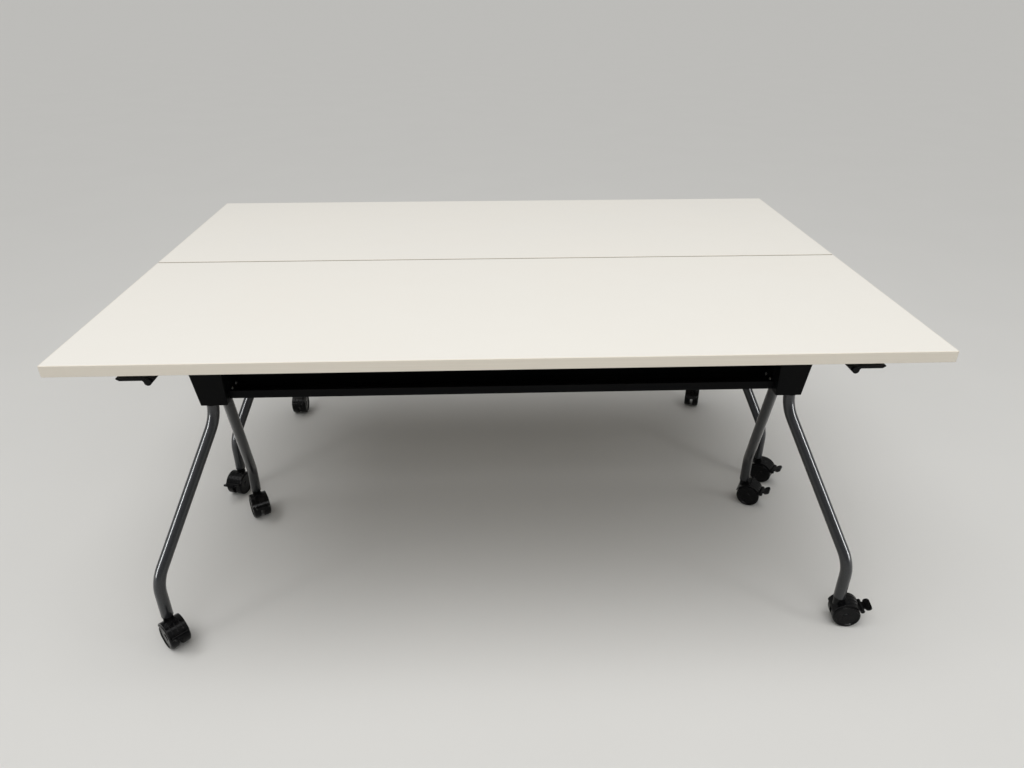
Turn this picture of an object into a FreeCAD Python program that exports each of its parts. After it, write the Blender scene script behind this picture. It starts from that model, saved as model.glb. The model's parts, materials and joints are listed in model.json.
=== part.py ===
import FreeCAD, Part
import math
import os
import Sketcher
from types import SimpleNamespace

# A conference table made of two alike flip-top nesting tables on casters, pushed together along
# their long edges. Each table has a laminated top that tips up about pins in two leg heads. Every
# head carries a front and a rear leg of bent round tube, and a cable trough ties the two heads
# together. The front legs stand wider apart than the rear legs, so that folded tables nest.
#
# Millimetres, +X to the right, +Y away from the sitter, +Z up from the floor. The pieces of one
# table are drawn about the middle of its depth, for the right-hand side, and are then mirrored to
# the left and set out for the near and the far table.

V = FreeCAD.Vector
X_AXIS = V(1, 0, 0)
Y_AXIS = V(0, 1, 0)
Z_AXIS = V(0, 0, 1)

doc = FreeCAD.newDocument("conference_table")
sheet = doc.addObject("Spreadsheet::Sheet", "Sizes")

SIZES = (
    ("top_width", 1829, "tabletop, side to side"),
    ("top_depth", 610, "tabletop, front to back"),
    ("top_thickness", 25, "tabletop board"),
    ("table_height", 749, "floor to the top of the board"),
    ("band_thickness", 2, "edge band round the board"),
    ("corner_round", 3, "upright corners of the edge band"),
    ("edge_round", 1.5, "long edges of the edge band"),
    ("seam_gap", 4, "between the two tabletops"),
    ("seam_y", 26.7, "seam behind the middle of the whole footprint"),
    ("sheet", 3, "steel of the heads and rails"),
    ("head_inset", 261.5, "inboard face of a head, in from the end of the top"),
    ("head_top_width", 88, "head at its top"),
    ("head_bottom_width", 63, "head at its bottom"),
    ("head_setback", 85, "front face of a head ahead of the middle of the table"),
    ("head_depth", 140, "head, front to back"),
    ("head_height", 188, "head, top edge to bottom"),
    ("head_taper", 160, "height of the tapered stretch of a head"),
    ("head_drop", 6, "top edge of a head below the board"),
    ("head_fold", 4, "outer radius of the folded front corners"),
    ("keeper_width", 16, "latch keeper"),
    ("keeper_reach", 14, "latch keeper ahead of the head"),
    ("keeper_drop", 60, "underside of the latch keeper below the board"),
    ("pivot_y", 60, "flip pivot behind the middle of the table"),
    ("pivot_drop", 12, "flip pivot below the board"),
    ("pin_diameter", 8, "pivot pin"),
    ("pin_fit", 0.05, "radial clearance round pins, rods and axles"),
    ("pin_head", 7, "radius of a pivot pin's end collars"),
    ("pin_head_length", 2, "pivot pin's end collars"),
    ("ear_radius", 8, "ears round the pivot pin"),
    ("rail_flange", 16, "rail beyond each side of the head"),
    ("rail_lead", 5, "rail ahead of the head"),
    ("rail_tail", 38, "rail behind the pivot"),
    ("rail_side_gap", 0.5, "between a rail's ears and the head's walls"),
    ("rail_ear_width", 20, "rail's ears where they leave its plate"),
    ("pad_radius", 6, "rest pad"),
    ("pad_gap", 0.3, "rest pad above the head"),
    ("pad_inset", 22, "rest pads in from the head's sides"),
    ("screw_head_radius", 4.5, "wood screw head"),
    ("screw_head_height", 2.6, "wood screw head"),
    ("screw_radius", 2, "wood screw shank"),
    ("screw_bite", 14, "wood screw in the board"),
    ("rail_screw_front", 20, "front screws behind the rail's front end"),
    ("rail_screw_rear", 30, "rear screws ahead of the pivot"),
    ("rod_offset", 69, "release rod outboard of the head's inboard face"),
    ("rod_drop", 25.5, "release rod below the board"),
    ("rod_diameter", 8, "release rod"),
    ("rod_gap", 8, "rear end of a release rod ahead of the head"),
    ("hook_length", 42, "hook below the rod's axis"),
    ("hook_width", 9, "hook's arm"),
    ("hook_depth", 10, "hook, front to back"),
    ("hook_toe", 8, "thickness of the hook's toe"),
    ("toe_reach", 10.5, "hook's toe inboard of its arm"),
    ("latch_gap", 1, "hook's toe beside the keeper"),
    ("paddle_inset", 25, "front end of a paddle behind the board's front edge"),
    ("paddle_depth", 40, "paddle, front to back"),
    ("paddle_tip", 64, "paddle outboard of its rod"),
    ("paddle_heel", 17.5, "paddle inboard of its rod"),
    ("paddle_thickness", 6.5, "paddle's tongue"),
    ("paddle_rise", 8.5, "top of the tongue above the rod's axis"),
    ("paddle_belly", 4.5, "underside beside the hub below the rod's axis"),
    ("hub_radius", 7.5, "round hub of a paddle"),
    ("hub_overhang", 4, "hub beyond each end of the paddle"),
    ("clip_width", 16, "rod clip's block"),
    ("clip_foot", 46, "rod clip's foot"),
    ("clip_foot_thickness", 4, "rod clip's foot"),
    ("clip_length", 12, "rod clip along the rod"),
    ("clip_hub_gap", 4, "front rod clip behind the paddle's hub"),
    ("clip_hook_gap", 15, "rear rod clip ahead of the hook"),
    ("clip_screw_offset", 16, "clip screws from the rod"),
    ("tube_diameter", 28, "leg tube"),
    ("tube_wall", 2, "leg tube"),
    ("tube_end", 78, "lower end of the leg tubes above the floor"),
    ("tube_fit", 0.2, "hole for a leg tube, radial"),
    ("tube_gap", 0.5, "front leg behind the head's front wall"),
    ("front_stem_end", 99.5, "front casters in from the end of the top"),
    ("front_stem_inset", 12, "front casters behind the board's front edge"),
    ("front_leg_offset", 41, "upper end of a front leg outboard of the head's inboard face"),
    ("front_leg_rise", 110, "upper end of a front leg above the head's bottom"),
    ("front_leg_neck", 3, "straight neck of a front leg below the head's bottom"),
    ("front_lower_bend_z", 180, "lower bend of a front leg above the floor"),
    ("front_bend_radius", 100, "bends of a front leg"),
    ("rear_stem_end", 178.5, "rear casters in from the end of the top"),
    ("rear_stem_inset", 102, "rear casters ahead of the board's rear edge"),
    ("rear_leg_offset", 44.7, "rear leg's hole outboard of the head's inboard face"),
    ("rear_leg_setback", 102.2, "rear leg's hole behind the head's front face"),
    ("rear_leg_rise", 78, "upper end of a rear leg above the head's bottom"),
    ("rear_bend_z", 150, "bend of a rear leg above the floor"),
    ("rear_bend_radius", 80, "bend of a rear leg"),
    ("trough_sheet", 2, "steel of the cable trough"),
    ("trough_setback", 23, "front lip of the trough behind the head's front face"),
    ("trough_depth", 62, "trough, front to back"),
    ("trough_lift", 6, "underside of the trough above the head's bottom"),
    ("trough_lip", 20, "front lip of the trough"),
    ("trough_hem", 7, "hem turned in at the top of the lip"),
    ("trough_back", 114, "back wall of the trough"),
    ("trough_flange", 16, "flange at the top of the back wall"),
    ("trough_cheek", 60, "height of the trough's end cheeks"),
    ("slot_length", 30, "cable slot"),
    ("slot_height", 6, "cable slot"),
    ("slot_rise", 58, "cable slots above the trough's underside"),
    ("slot_pitch", 56, "cable slots, one to the next"),
    ("slot_margin", 78, "outermost cable slots from the trough's ends"),
    ("bolt_radius", 2.5, "trough screw's shank"),
    ("bolt_head_radius", 5, "trough screw's head"),
    ("bolt_head_height", 3.5, "trough screw's head"),
    ("bolt_length", 14, "trough screw's shank"),
    ("bolt_front", 16, "front trough screw behind the lip"),
    ("bolt_rear", 44, "rear trough screw behind the lip"),
    ("bolt_rise", 18, "trough screws above the trough's underside"),
    ("wheel_diameter", 66, "caster wheel"),
    ("wheel_outer", 24, "outer face of a wheel from the caster's middle"),
    ("wheel_inner", 4.6, "inner face of a wheel from the caster's middle"),
    ("wheel_round", 3, "rounded shoulder of a tread"),
    ("wheel_dish", 1.2, "depth of the dish in a wheel's outer face"),
    ("wheel_rim", 8, "rim round the dish"),
    ("wheel_cap", 8, "radius of the boss in the dish"),
    ("caster_trail", 20, "axle behind the stem"),
    ("axle_diameter", 8, "caster axle"),
    ("axle_half", 19.5, "half the caster axle"),
    ("axle_end_gap", 0.4, "axle's end inside the wheel"),
    ("hood_gap", 1.5, "hood clear of the wheels"),
    ("hood_wall", 3, "hood"),
    ("hood_half", 23, "half the width of the hood"),
    ("web_thickness", 8, "web between the wheels"),
    ("hub_web_radius", 10, "web round the axle"),
    ("boss_radius", 12, "boss round the stem"),
    ("boss_top_gap", 0.3, "boss below its socket"),
    ("stem_diameter", 11, "caster stem"),
    ("stem_length", 34, "caster stem in its socket"),
    ("socket_flange", 1.5, "socket's flange under the tube"),
    ("socket_length", 38, "socket inside the tube"),
    ("knuckle_gap", 6.5, "pedal's hinge outside the wheel's tread"),
    ("hinge_lift", 16.5, "pedal's hinge above the axle"),
    ("knuckle_radius", 5, "hinge knuckles of the hood"),
    ("knuckle_half", 20, "half the width over the knuckles"),
    ("pedal_half", 11, "half the width of the pedal's barrel"),
    ("pedal_side_gap", 0.3, "barrel beside the knuckles"),
    ("pedal_barrel_gap", 0.4, "barrel smaller than the knuckles"),
    ("pedal_pin_radius", 2, "pedal's hinge pin"),
    ("pedal_reach", 24, "pedal's tip from its hinge"),
    ("pedal_neck", 8, "pedal's tab from its hinge"),
    ("pedal_thickness", 4.4, "pedal's tab"),
    ("pedal_tab_half", 18, "half the width of the pedal's tab"),
    ("pedal_rim", 2.2, "rim round the pedal's tab"),
    ("pedal_dish", 1.2, "dish inside the pedal's rim"),
    ("shoe_reach", 5, "brake shoe towards the wheel from the hinge"),
    ("shoe_length", 10, "brake shoe below the hinge"),
)

# How far each caster is turned about its stem, in degrees from +X: the way its wheels trail.
CASTER_HEADING = {
    ("near", "left", "front"): -45,
    ("near", "right", "front"): -8,
    ("near", "left", "rear"): -62,
    ("near", "right", "rear"): -30,
    ("far", "left", "front"): -105,
    ("far", "right", "front"): -35,
    ("far", "left", "rear"): -90,
    ("far", "right", "rear"): -108,
}


class Size:
    """A length with the sheet formula that it comes from, so that sums stay bound to the sheet."""

    def __init__(self, value, formula):
        self.value = value
        self.formula = formula

    def __add__(self, other):
        return Size(self.value + number(other), f"({self.formula} + {formula(other)})")

    def __sub__(self, other):
        return Size(self.value - number(other), f"({self.formula} - {formula(other)})")

    def __mul__(self, factor):
        return Size(self.value * number(factor), f"({self.formula} * {formula(factor)})")

    def __truediv__(self, divisor):
        return Size(self.value / number(divisor), f"({self.formula} / {formula(divisor)})")

    def __neg__(self):
        return Size(-self.value, f"(0 - {self.formula})")


def number(length):
    return length.value if isinstance(length, Size) else float(length)


def formula(length):
    return length.formula if isinstance(length, Size) else repr(float(length))


def hypotenuse(one, other):
    return Size(math.hypot(one.value, other.value), f"hypot({one.formula}; {other.formula})")


def bearing(across, along):
    degrees = math.degrees(math.atan2(along.value, across.value))
    return Size(degrees, f"atan2({along.formula}; {across.formula})")


def other_leg(slant, leg):
    """The third side of a right-angled triangle from its longest side and another."""
    length = math.sqrt(slant.value ** 2 - leg.value ** 2)
    return Size(length, f"sqrt({slant.formula} ^ 2 - {leg.formula} ^ 2)")


def half_tangent(angle):
    return Size(math.tan(math.radians(angle.value / 2)), f"tan({angle.formula} / 2)")


def read_sizes():
    """Fills the sheet and returns its cells by name."""
    cells = SimpleNamespace()
    for row, (name, value, note) in enumerate(SIZES, start=1):
        sheet.set(f"A{row}", name)
        sheet.set(f"B{row}", str(value))
        sheet.setAlias(f"B{row}", name)
        sheet.set(f"C{row}", note)
        setattr(cells, name, Size(float(value), f"Sizes.{name}"))
    doc.recompute()
    return cells


def bind(thing, field, length):
    thing.setExpression(field, formula(length))


def place(thing, x=0, y=0, z=0, turn=0):
    """Sets a piece's place, bound to the sheet, and its turn about the upright axis in degrees."""
    thing.Placement = FreeCAD.Placement(V(number(x), number(y), number(z)), FreeCAD.Rotation(Z_AXIS, turn))
    for axis, length in (("x", x), ("y", y), ("z", z)):
        bind(thing, f"Placement.Base.{axis}", length)


# Sketches and features of a body

def new_body(name):
    return doc.addObject("PartDesign::Body", name)


def origin_feature(body, role):
    return next(item for item in body.Origin.OriginFeatures if item.Role == role)


def new_sketch(body, plane, offset=0):
    """A sketch on one of the body's origin planes, moved along the plane's normal."""
    sketch = body.newObject("Sketcher::SketchObject", f"{body.Name}_sketch")
    sketch.AttachmentSupport = [(origin_feature(body, plane), "")]
    sketch.MapMode = "FlatFace"
    bind(sketch, "AttachmentOffset.Base.z", offset)
    return sketch


def fix_point(sketch, geometry, position, point):
    for kind, length in (("DistanceX", point[0]), ("DistanceY", point[1])):
        index = sketch.addConstraint(Sketcher.Constraint(kind, -1, 1, geometry, position, number(length)))
        bind(sketch, f"Constraints[{index}]", length)


def draw_outline(sketch, points):
    """A closed outline of straight edges, every corner bound to the sheet."""
    corners = [V(number(x), number(y), 0) for x, y in points]
    edges = []
    for start, end in zip(corners, corners[1:] + corners[:1]):
        edges.append(sketch.addGeometry(Part.LineSegment(start, end), False))
    for edge, following in zip(edges, edges[1:] + edges[:1]):
        sketch.addConstraint(Sketcher.Constraint("Coincident", edge, 2, following, 1))
    for edge, point in zip(edges, points):
        fix_point(sketch, edge, 1, point)
    return sketch


def draw_rectangle(sketch, left, bottom, right, top):
    return draw_outline(sketch, [(left, bottom), (right, bottom), (right, top), (left, top)])


def draw_circle(sketch, centre, radius):
    middle = V(number(centre[0]), number(centre[1]), 0)
    circle = sketch.addGeometry(Part.Circle(middle, Z_AXIS, number(radius)), False)
    fix_point(sketch, circle, 3, centre)
    index = sketch.addConstraint(Sketcher.Constraint("Radius", circle, number(radius)))
    bind(sketch, f"Constraints[{index}]", radius)
    return sketch


def draw_bent_line(sketch, corners, radius):
    """A run of straight lines whose inner corners are rounded by tangent arcs of one radius."""
    points = [V(number(x), number(y), 0) for x, y in corners]
    bend = number(radius)
    starts = [points[0]]
    ends = []
    arcs = []
    for before, corner, after in zip(points, points[1:], points[2:]):
        back = (before - corner).normalize()
        ahead = (after - corner).normalize()
        half_angle = back.getAngle(ahead) / 2
        tangent = bend / math.tan(half_angle)
        centre = corner + (back + ahead).normalize() * (bend / math.sin(half_angle))
        middle = centre + (corner - centre).normalize() * bend
        ends.append(corner + back * tangent)
        starts.append(corner + ahead * tangent)
        arcs.append(Part.Arc(ends[-1], middle, starts[-1]))
    ends.append(points[-1])
    lines = [sketch.addGeometry(Part.LineSegment(start, end), False) for start, end in zip(starts, ends)]
    fix_point(sketch, lines[0], 1, corners[0])
    fix_point(sketch, lines[-1], 2, corners[-1])
    for index, arc in enumerate(arcs):
        line, following = lines[index], lines[index + 1]
        curve = sketch.addGeometry(arc, False)
        starts_on_line = (sketch.getPoint(curve, 1) - ends[index]).Length < 1e-6
        first, last = (1, 2) if starts_on_line else (2, 1)
        corner = sketch.addGeometry(Part.Point(points[index + 1]), True)
        fix_point(sketch, corner, 1, corners[index + 1])
        sketch.addConstraint(Sketcher.Constraint("PointOnObject", corner, 1, line))
        sketch.addConstraint(Sketcher.Constraint("PointOnObject", corner, 1, following))
        sketch.addConstraint(Sketcher.Constraint("Tangent", line, 2, curve, first))
        sketch.addConstraint(Sketcher.Constraint("Tangent", curve, last, following, 1))
        datum = sketch.addConstraint(Sketcher.Constraint("Radius", curve, bend))
        bind(sketch, f"Constraints[{datum}]", radius)
    return sketch


def extrude(kind, body, sketch, length, backwards=False, both_ways=False):
    feature = body.newObject(f"PartDesign::{kind}", f"{body.Name}_{kind.lower()}")
    feature.Profile = sketch
    bind(feature, "Length", length)
    feature.Reversed = backwards
    if both_ways:
        feature.SideType = "Symmetric"
    return feature


def pad(body, sketch, length, **how):
    return extrude("Pad", body, sketch, length, **how)


def pocket(body, sketch, length, **how):
    """A pocket that has to take material away."""
    doc.recompute()
    before = body.Shape.Volume
    feature = extrude("Pocket", body, sketch, length, **how)
    doc.recompute()
    if body.Shape.Volume >= before - 1e-6:
        raise RuntimeError(f"{feature.Name} cuts nothing")
    return feature


def revolve(body, sketch):
    feature = body.newObject("PartDesign::Revolution", f"{body.Name}_turned")
    feature.Profile = sketch
    feature.ReferenceAxis = (sketch, ["V_Axis"])
    feature.Angle = 360
    return feature


def round_edges(body, radius, chosen):
    """Rounds the edges of the body that the test picks."""
    doc.recompute()
    base = body.Tip
    names = [f"Edge{i}" for i, edge in enumerate(base.Shape.Edges, start=1) if chosen(edge)]
    fillet = body.newObject("PartDesign::Fillet", f"{body.Name}_round")
    fillet.Base = (base, names)
    bind(fillet, "Radius", radius)
    return fillet


def runs_along(edge, axis):
    """Whether an edge is straight and lies along the axis."""
    return isinstance(edge.Curve, Part.Line) and abs(edge.Curve.Direction.dot(axis)) > 0.999


# Pieces set out on the table

def mirror_left(piece):
    mirrored = doc.addObject("Part::Mirroring", f"{piece.Name}_left")
    mirrored.Source = piece
    mirrored.Normal = X_AXIS
    return mirrored


def group(name, pieces, **where):
    """One or more finished pieces as an object with a place of its own."""
    compound = doc.addObject("Part::Compound", name)
    compound.Links = pieces
    place(compound, **where)
    return compound


size = read_sizes()
board_under = size.table_height - size.top_thickness
pivot_z = board_under - size.pivot_drop
pin_radius = size.pin_diameter / 2
pin_hole = pin_radius + size.pin_fit
half_width = size.top_width / 2
half_depth = size.top_depth / 2
head_top = board_under - size.head_drop
head_bottom = head_top - size.head_height
head_inner_x = half_width - size.head_inset
head_outer_x = head_inner_x + size.head_top_width
head_front = -size.head_setback
head_back = head_front + size.head_depth
keeper_z = board_under - size.keeper_drop
rail_under = board_under - size.sheet
rail_front = head_front - size.rail_lead
screw_hole = size.screw_radius + size.pin_fit
rod_x = head_inner_x + size.rod_offset
rod_z = board_under - size.rod_drop
rod_radius = size.rod_diameter / 2
rod_rear = head_front - size.rod_gap
toe_x = rod_x - size.hook_width / 2 - size.toe_reach
paddle_front = size.paddle_inset - half_depth
hub_rear = paddle_front + size.paddle_depth + size.hub_overhang
clip_front_y = hub_rear + size.clip_hub_gap + size.clip_length / 2
clip_rear_y = rod_rear - size.hook_depth - size.clip_hook_gap - size.clip_length / 2
tube_radius = size.tube_diameter / 2
front_stem_x = half_width - size.front_stem_end
front_stem_y = size.front_stem_inset - half_depth
front_top_x = head_inner_x + size.front_leg_offset
front_top_y = head_front + size.sheet + tube_radius + size.tube_gap
rear_stem_x = half_width - size.rear_stem_end
rear_stem_y = half_depth - size.rear_stem_inset
rear_hole_x = head_inner_x + size.rear_leg_offset
rear_hole_y = head_front + size.rear_leg_setback
rear_run = hypotenuse(rear_stem_x - rear_hole_x, rear_stem_y - rear_hole_y)
rear_rise = head_bottom + size.sheet / 2 - size.rear_bend_z
trough_front = head_front + size.trough_setback
trough_rear = trough_front + size.trough_depth
trough_bottom = head_bottom + size.trough_lift
wheel_radius = size.wheel_diameter / 2
axle_radius = size.axle_diameter / 2
boss_top = size.tube_end - size.socket_flange - size.boss_top_gap
hinge_arm = wheel_radius + size.knuckle_gap
hinge_along = other_leg(hinge_arm, size.hinge_lift)
hinge_x = size.caster_trail + hinge_along
hinge_z = wheel_radius + size.hinge_lift
hinge_tilt = bearing(hinge_along, size.hinge_lift)

bolt_places = [
    (trough_front + size.bolt_front, trough_bottom + size.bolt_rise),
    (trough_front + size.bolt_rear, trough_bottom + size.bolt_rise),
]
rail_screw_places = [
    (x, y)
    for x in (head_inner_x - size.rail_flange / 2, head_outer_x + size.rail_flange / 2)
    for y in (rail_front + size.rail_screw_front, size.pivot_y - size.rail_screw_rear)
]
clip_screw_places = [
    (x, y)
    for x in (rod_x - size.clip_screw_offset, rod_x + size.clip_screw_offset)
    for y in (clip_front_y, clip_rear_y)
]


# Tabletop and edge band

def make_tabletop():
    """The laminated board, with pilot holes for the screws of the rails and the rod clips."""
    body = new_body("board")
    reach_x = half_width - size.band_thickness
    reach_y = half_depth - size.band_thickness
    slab = new_sketch(body, "XY_Plane", board_under)
    draw_rectangle(slab, -reach_x, -reach_y, reach_x, reach_y)
    pad(body, slab, size.top_thickness)
    pilots = new_sketch(body, "XY_Plane", board_under)
    for x, y in rail_screw_places + clip_screw_places:
        draw_circle(pilots, (x, y), screw_hole)
        draw_circle(pilots, (-x, y), screw_hole)
    pocket(body, pilots, size.screw_bite + size.pin_fit, backwards=True)
    return body


def make_edge_band():
    """The plastic band glued round the board, with eased edges."""
    body = new_body("band")
    inner_x = half_width - size.band_thickness
    inner_y = half_depth - size.band_thickness
    ring = new_sketch(body, "XY_Plane", board_under)
    draw_rectangle(ring, -half_width, -half_depth, half_width, half_depth)
    draw_rectangle(ring, -inner_x, -inner_y, inner_x, inner_y)
    pad(body, ring, size.top_thickness)

    def upright_corner(edge):
        return runs_along(edge, Z_AXIS) and abs(edge.CenterOfMass.x) > number(inner_x) + 0.1

    def outer_rim(edge):
        if runs_along(edge, Z_AXIS):
            return False
        box = edge.BoundBox
        beyond_x = max(abs(box.XMin), abs(box.XMax)) > number(inner_x) + 0.1
        beyond_y = max(abs(box.YMin), abs(box.YMax)) > number(inner_y) + 0.1
        return box.ZLength < 0.01 and (beyond_x or beyond_y)

    round_edges(body, size.corner_round, upright_corner)
    round_edges(body, size.edge_round, outer_rim)
    return body


# Leg head: a box folded from steel sheet, open at the top and the back

def make_leg_head():
    body = new_body("head")
    inner_x = head_inner_x
    shoulder_z = head_bottom + size.head_taper
    front_face = new_sketch(body, "XZ_Plane", -head_front)
    draw_outline(front_face, [
        (inner_x, head_bottom),
        (inner_x + size.head_bottom_width, head_bottom),
        (head_outer_x, shoulder_z),
        (head_outer_x, head_top),
        (inner_x, head_top),
    ])
    pad(body, front_face, size.head_depth, backwards=True)

    # The ears reach back from both side walls to carry the pivot pin.
    ear = new_sketch(body, "YZ_Plane", inner_x)
    ear_start = head_back - size.ear_radius
    draw_rectangle(ear, ear_start, pivot_z - size.ear_radius, size.pivot_y, pivot_z + size.ear_radius)
    pad(body, ear, size.head_top_width)
    ear_end = new_sketch(body, "YZ_Plane", inner_x)
    draw_circle(ear_end, (size.pivot_y, pivot_z), size.ear_radius)
    pad(body, ear_end, size.head_top_width)

    fold_y = number(head_front) + 0.01

    def front_fold(edge):
        upright = edge.BoundBox.ZLength > number(size.sheet) * 4
        return upright and edge.BoundBox.YMax < fold_y

    round_edges(body, size.head_fold, front_fold)

    # Hollow, from behind, as far as the front wall.
    behind = size.pivot_y + size.ear_radius * 2
    hollow = new_sketch(body, "XZ_Plane", -behind)
    draw_outline(hollow, [
        (inner_x + size.sheet, head_bottom + size.sheet),
        (inner_x + size.head_bottom_width - size.sheet, head_bottom + size.sheet),
        (head_outer_x - size.sheet, shoulder_z),
        (head_outer_x - size.sheet, board_under),
        (inner_x + size.sheet, board_under),
    ])
    pocket(body, hollow, behind - head_front - size.sheet, backwards=True)

    # The keeper that the latch hook catches is a tab bent out of the front wall.
    keeper = new_sketch(body, "XZ_Plane", -head_front)
    keeper_right = toe_x - size.latch_gap
    draw_rectangle(keeper, keeper_right - size.keeper_width, keeper_z, keeper_right, keeper_z + size.sheet)
    pad(body, keeper, size.keeper_reach)

    pivot = new_sketch(body, "YZ_Plane", inner_x)
    draw_circle(pivot, (size.pivot_y, pivot_z), pin_hole)
    pocket(body, pivot, size.head_top_width, backwards=True)

    bolts = new_sketch(body, "YZ_Plane", inner_x)
    for centre in bolt_places:
        draw_circle(bolts, centre, size.bolt_radius + size.pin_fit)
    pocket(body, bolts, size.sheet, backwards=True)

    # The rear leg leans through its hole, so that hole is wider by the lean.
    lean = hypotenuse(rear_run, rear_rise)
    rear_hole = tube_radius * lean / rear_rise + size.sheet / 2 * rear_run / rear_rise + size.tube_fit
    holes = new_sketch(body, "XY_Plane", head_bottom)
    draw_circle(holes, (front_top_x, front_top_y), tube_radius + size.tube_fit)
    draw_circle(holes, (rear_hole_x, rear_hole_y), rear_hole)
    pocket(body, holes, size.sheet, backwards=True)
    return body


# Legs of bent round tube, each drawn in its own upright plane through the caster's stem

def make_tube(name, spine_corners, bend_radius):
    body = new_body(name)
    spine = draw_bent_line(new_sketch(body, "XZ_Plane"), spine_corners, bend_radius)
    for kind, radius in (("Additive", tube_radius), ("Subtractive", tube_radius - size.tube_wall)):
        ring = draw_circle(new_sketch(body, "XY_Plane", size.tube_end), (0, 0), radius)
        doc.recompute()
        sweep = body.newObject(f"PartDesign::{kind}Pipe", f"{name}_{kind.lower()}")
        sweep.Profile = ring
        sweep.Spine = spine
    return body


def make_front_leg():
    across = front_top_x - front_stem_x
    along = front_top_y - front_stem_y
    reach = hypotenuse(across, along)
    neck_end = head_bottom - size.front_leg_neck

    # The upper corner lies below the neck by the bend's tangent, which grows with the slope.
    # Two steps find it.
    corner_z = neck_end
    for _ in range(2):
        slope = bearing(corner_z - size.front_lower_bend_z, reach)
        corner_z = neck_end - size.front_bend_radius * half_tangent(slope)
    body = make_tube("front_leg", [
        (0, size.tube_end),
        (0, size.front_lower_bend_z),
        (reach, corner_z),
        (reach, head_bottom + size.front_leg_rise),
    ], size.front_bend_radius)
    place(body, x=front_stem_x, y=front_stem_y, turn=bearing(across, along).value)
    bind(body, "Placement.Rotation.Angle", bearing(across, along))
    return body


def make_rear_leg():
    across = rear_stem_x - rear_hole_x
    along = rear_stem_y - rear_hole_y
    top_z = head_bottom + size.rear_leg_rise
    reach = rear_run * (top_z - size.rear_bend_z) / rear_rise
    body = make_tube("rear_leg", [
        (0, size.tube_end),
        (0, size.rear_bend_z),
        (-reach, top_z),
    ], size.rear_bend_radius)
    place(body, x=rear_stem_x, y=rear_stem_y, turn=bearing(across, along).value)
    bind(body, "Placement.Rotation.Angle", bearing(across, along))
    return body


# Cable trough between the heads

def make_cable_trough():
    """A folded sheet: front lip with a hem, floor, slotted back wall and a flange behind it."""
    body = new_body("trough")
    front = trough_front
    floor = trough_bottom
    wall = size.trough_sheet
    lip_top = floor + size.trough_lip
    back_top = floor + size.trough_back
    section = new_sketch(body, "YZ_Plane")
    draw_outline(section, [
        (front, floor),
        (trough_rear, floor),
        (trough_rear, back_top - wall),
        (trough_rear + size.trough_flange, back_top - wall),
        (trough_rear + size.trough_flange, back_top),
        (trough_rear - wall, back_top),
        (trough_rear - wall, floor + wall),
        (front + wall, floor + wall),
        (front + wall, lip_top - wall),
        (front + size.trough_hem, lip_top - wall),
        (front + size.trough_hem, lip_top),
        (front, lip_top),
    ])
    pad(body, section, head_inner_x * 2, both_ways=True)

    # An end cheek closes the trough against each head and takes the screws.
    cheek_start = head_inner_x - size.sheet
    for offset, backwards in ((cheek_start, False), (-cheek_start, True)):
        cheek = new_sketch(body, "YZ_Plane", offset)
        draw_outline(cheek, [
            (front + wall / 2, floor + wall / 2),
            (trough_rear - wall / 2, floor + wall / 2),
            (trough_rear - wall / 2, floor + size.trough_cheek),
            (front + size.trough_hem, floor + size.trough_cheek),
            (front + wall / 2, lip_top - wall / 2),
        ])
        pad(body, cheek, size.sheet, backwards=backwards)
    holes = new_sketch(body, "YZ_Plane")
    for centre in bolt_places:
        draw_circle(holes, centre, size.bolt_radius + size.pin_fit)
    pocket(body, holes, head_inner_x * 2, both_ways=True)

    # Cable slots along the back wall.
    slot = new_sketch(body, "XZ_Plane", -trough_rear)
    slot_start = size.slot_margin - head_inner_x
    slot_span = (head_inner_x - size.slot_margin) * 2 - size.slot_length
    slot_bottom = floor + size.slot_rise
    slot_end = slot_start + size.slot_length
    draw_rectangle(slot, slot_start, slot_bottom, slot_end, slot_bottom + size.slot_height)
    first_slot = pocket(body, slot, wall * 2, both_ways=True)
    row = body.newObject("PartDesign::LinearPattern", "slot_row")
    row.Originals = [first_slot]
    row.Direction = (slot, ["H_Axis"])
    bind(row, "Length", slot_span)
    row.Occurrences = 1 + round(number(slot_span) / number(size.slot_pitch))
    body.Tip = row
    return body


# Turned pieces: screws, pins, pads and sockets, each drawn about its own upright axis

def make_turned(name, outline):
    body = new_body(name)
    revolve(body, draw_outline(new_sketch(body, "XZ_Plane"), outline))
    return body


def make_wood_screw():
    """Screw with its head's upper face at the underside of what it holds."""
    return make_turned("wood_screw", [
        (0, -size.screw_head_height),
        (size.screw_head_radius * 0.6, -size.screw_head_height),
        (size.screw_head_radius, -size.screw_head_height / 2),
        (size.screw_head_radius, 0),
        (size.screw_radius, 0),
        (size.screw_radius, size.screw_bite),
        (0, size.screw_bite),
    ])


def make_trough_bolt():
    return make_turned("trough_bolt", [
        (0, -size.bolt_head_height),
        (size.bolt_head_radius * 0.7, -size.bolt_head_height),
        (size.bolt_head_radius, -size.bolt_head_height / 2),
        (size.bolt_head_radius, 0),
        (size.bolt_radius, 0),
        (size.bolt_radius, size.bolt_length),
        (0, size.bolt_length),
    ])


def make_pivot_pin():
    """A plain pin with a collar on each end, outside the head's walls."""
    end = size.head_top_width + size.pin_head_length
    return make_turned("pivot_pin", [
        (0, -size.pin_head_length),
        (size.pin_head, -size.pin_head_length),
        (size.pin_head, 0),
        (pin_radius, 0),
        (pin_radius, size.head_top_width),
        (size.pin_head, size.head_top_width),
        (size.pin_head, end),
        (0, end),
    ])


def make_rest_pad():
    height = size.head_drop - size.sheet - size.pad_gap
    return make_turned("rest_pad", [
        (0, -height),
        (size.pad_radius * 0.85, -height),
        (size.pad_radius, 0),
        (0, 0),
    ])


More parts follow.
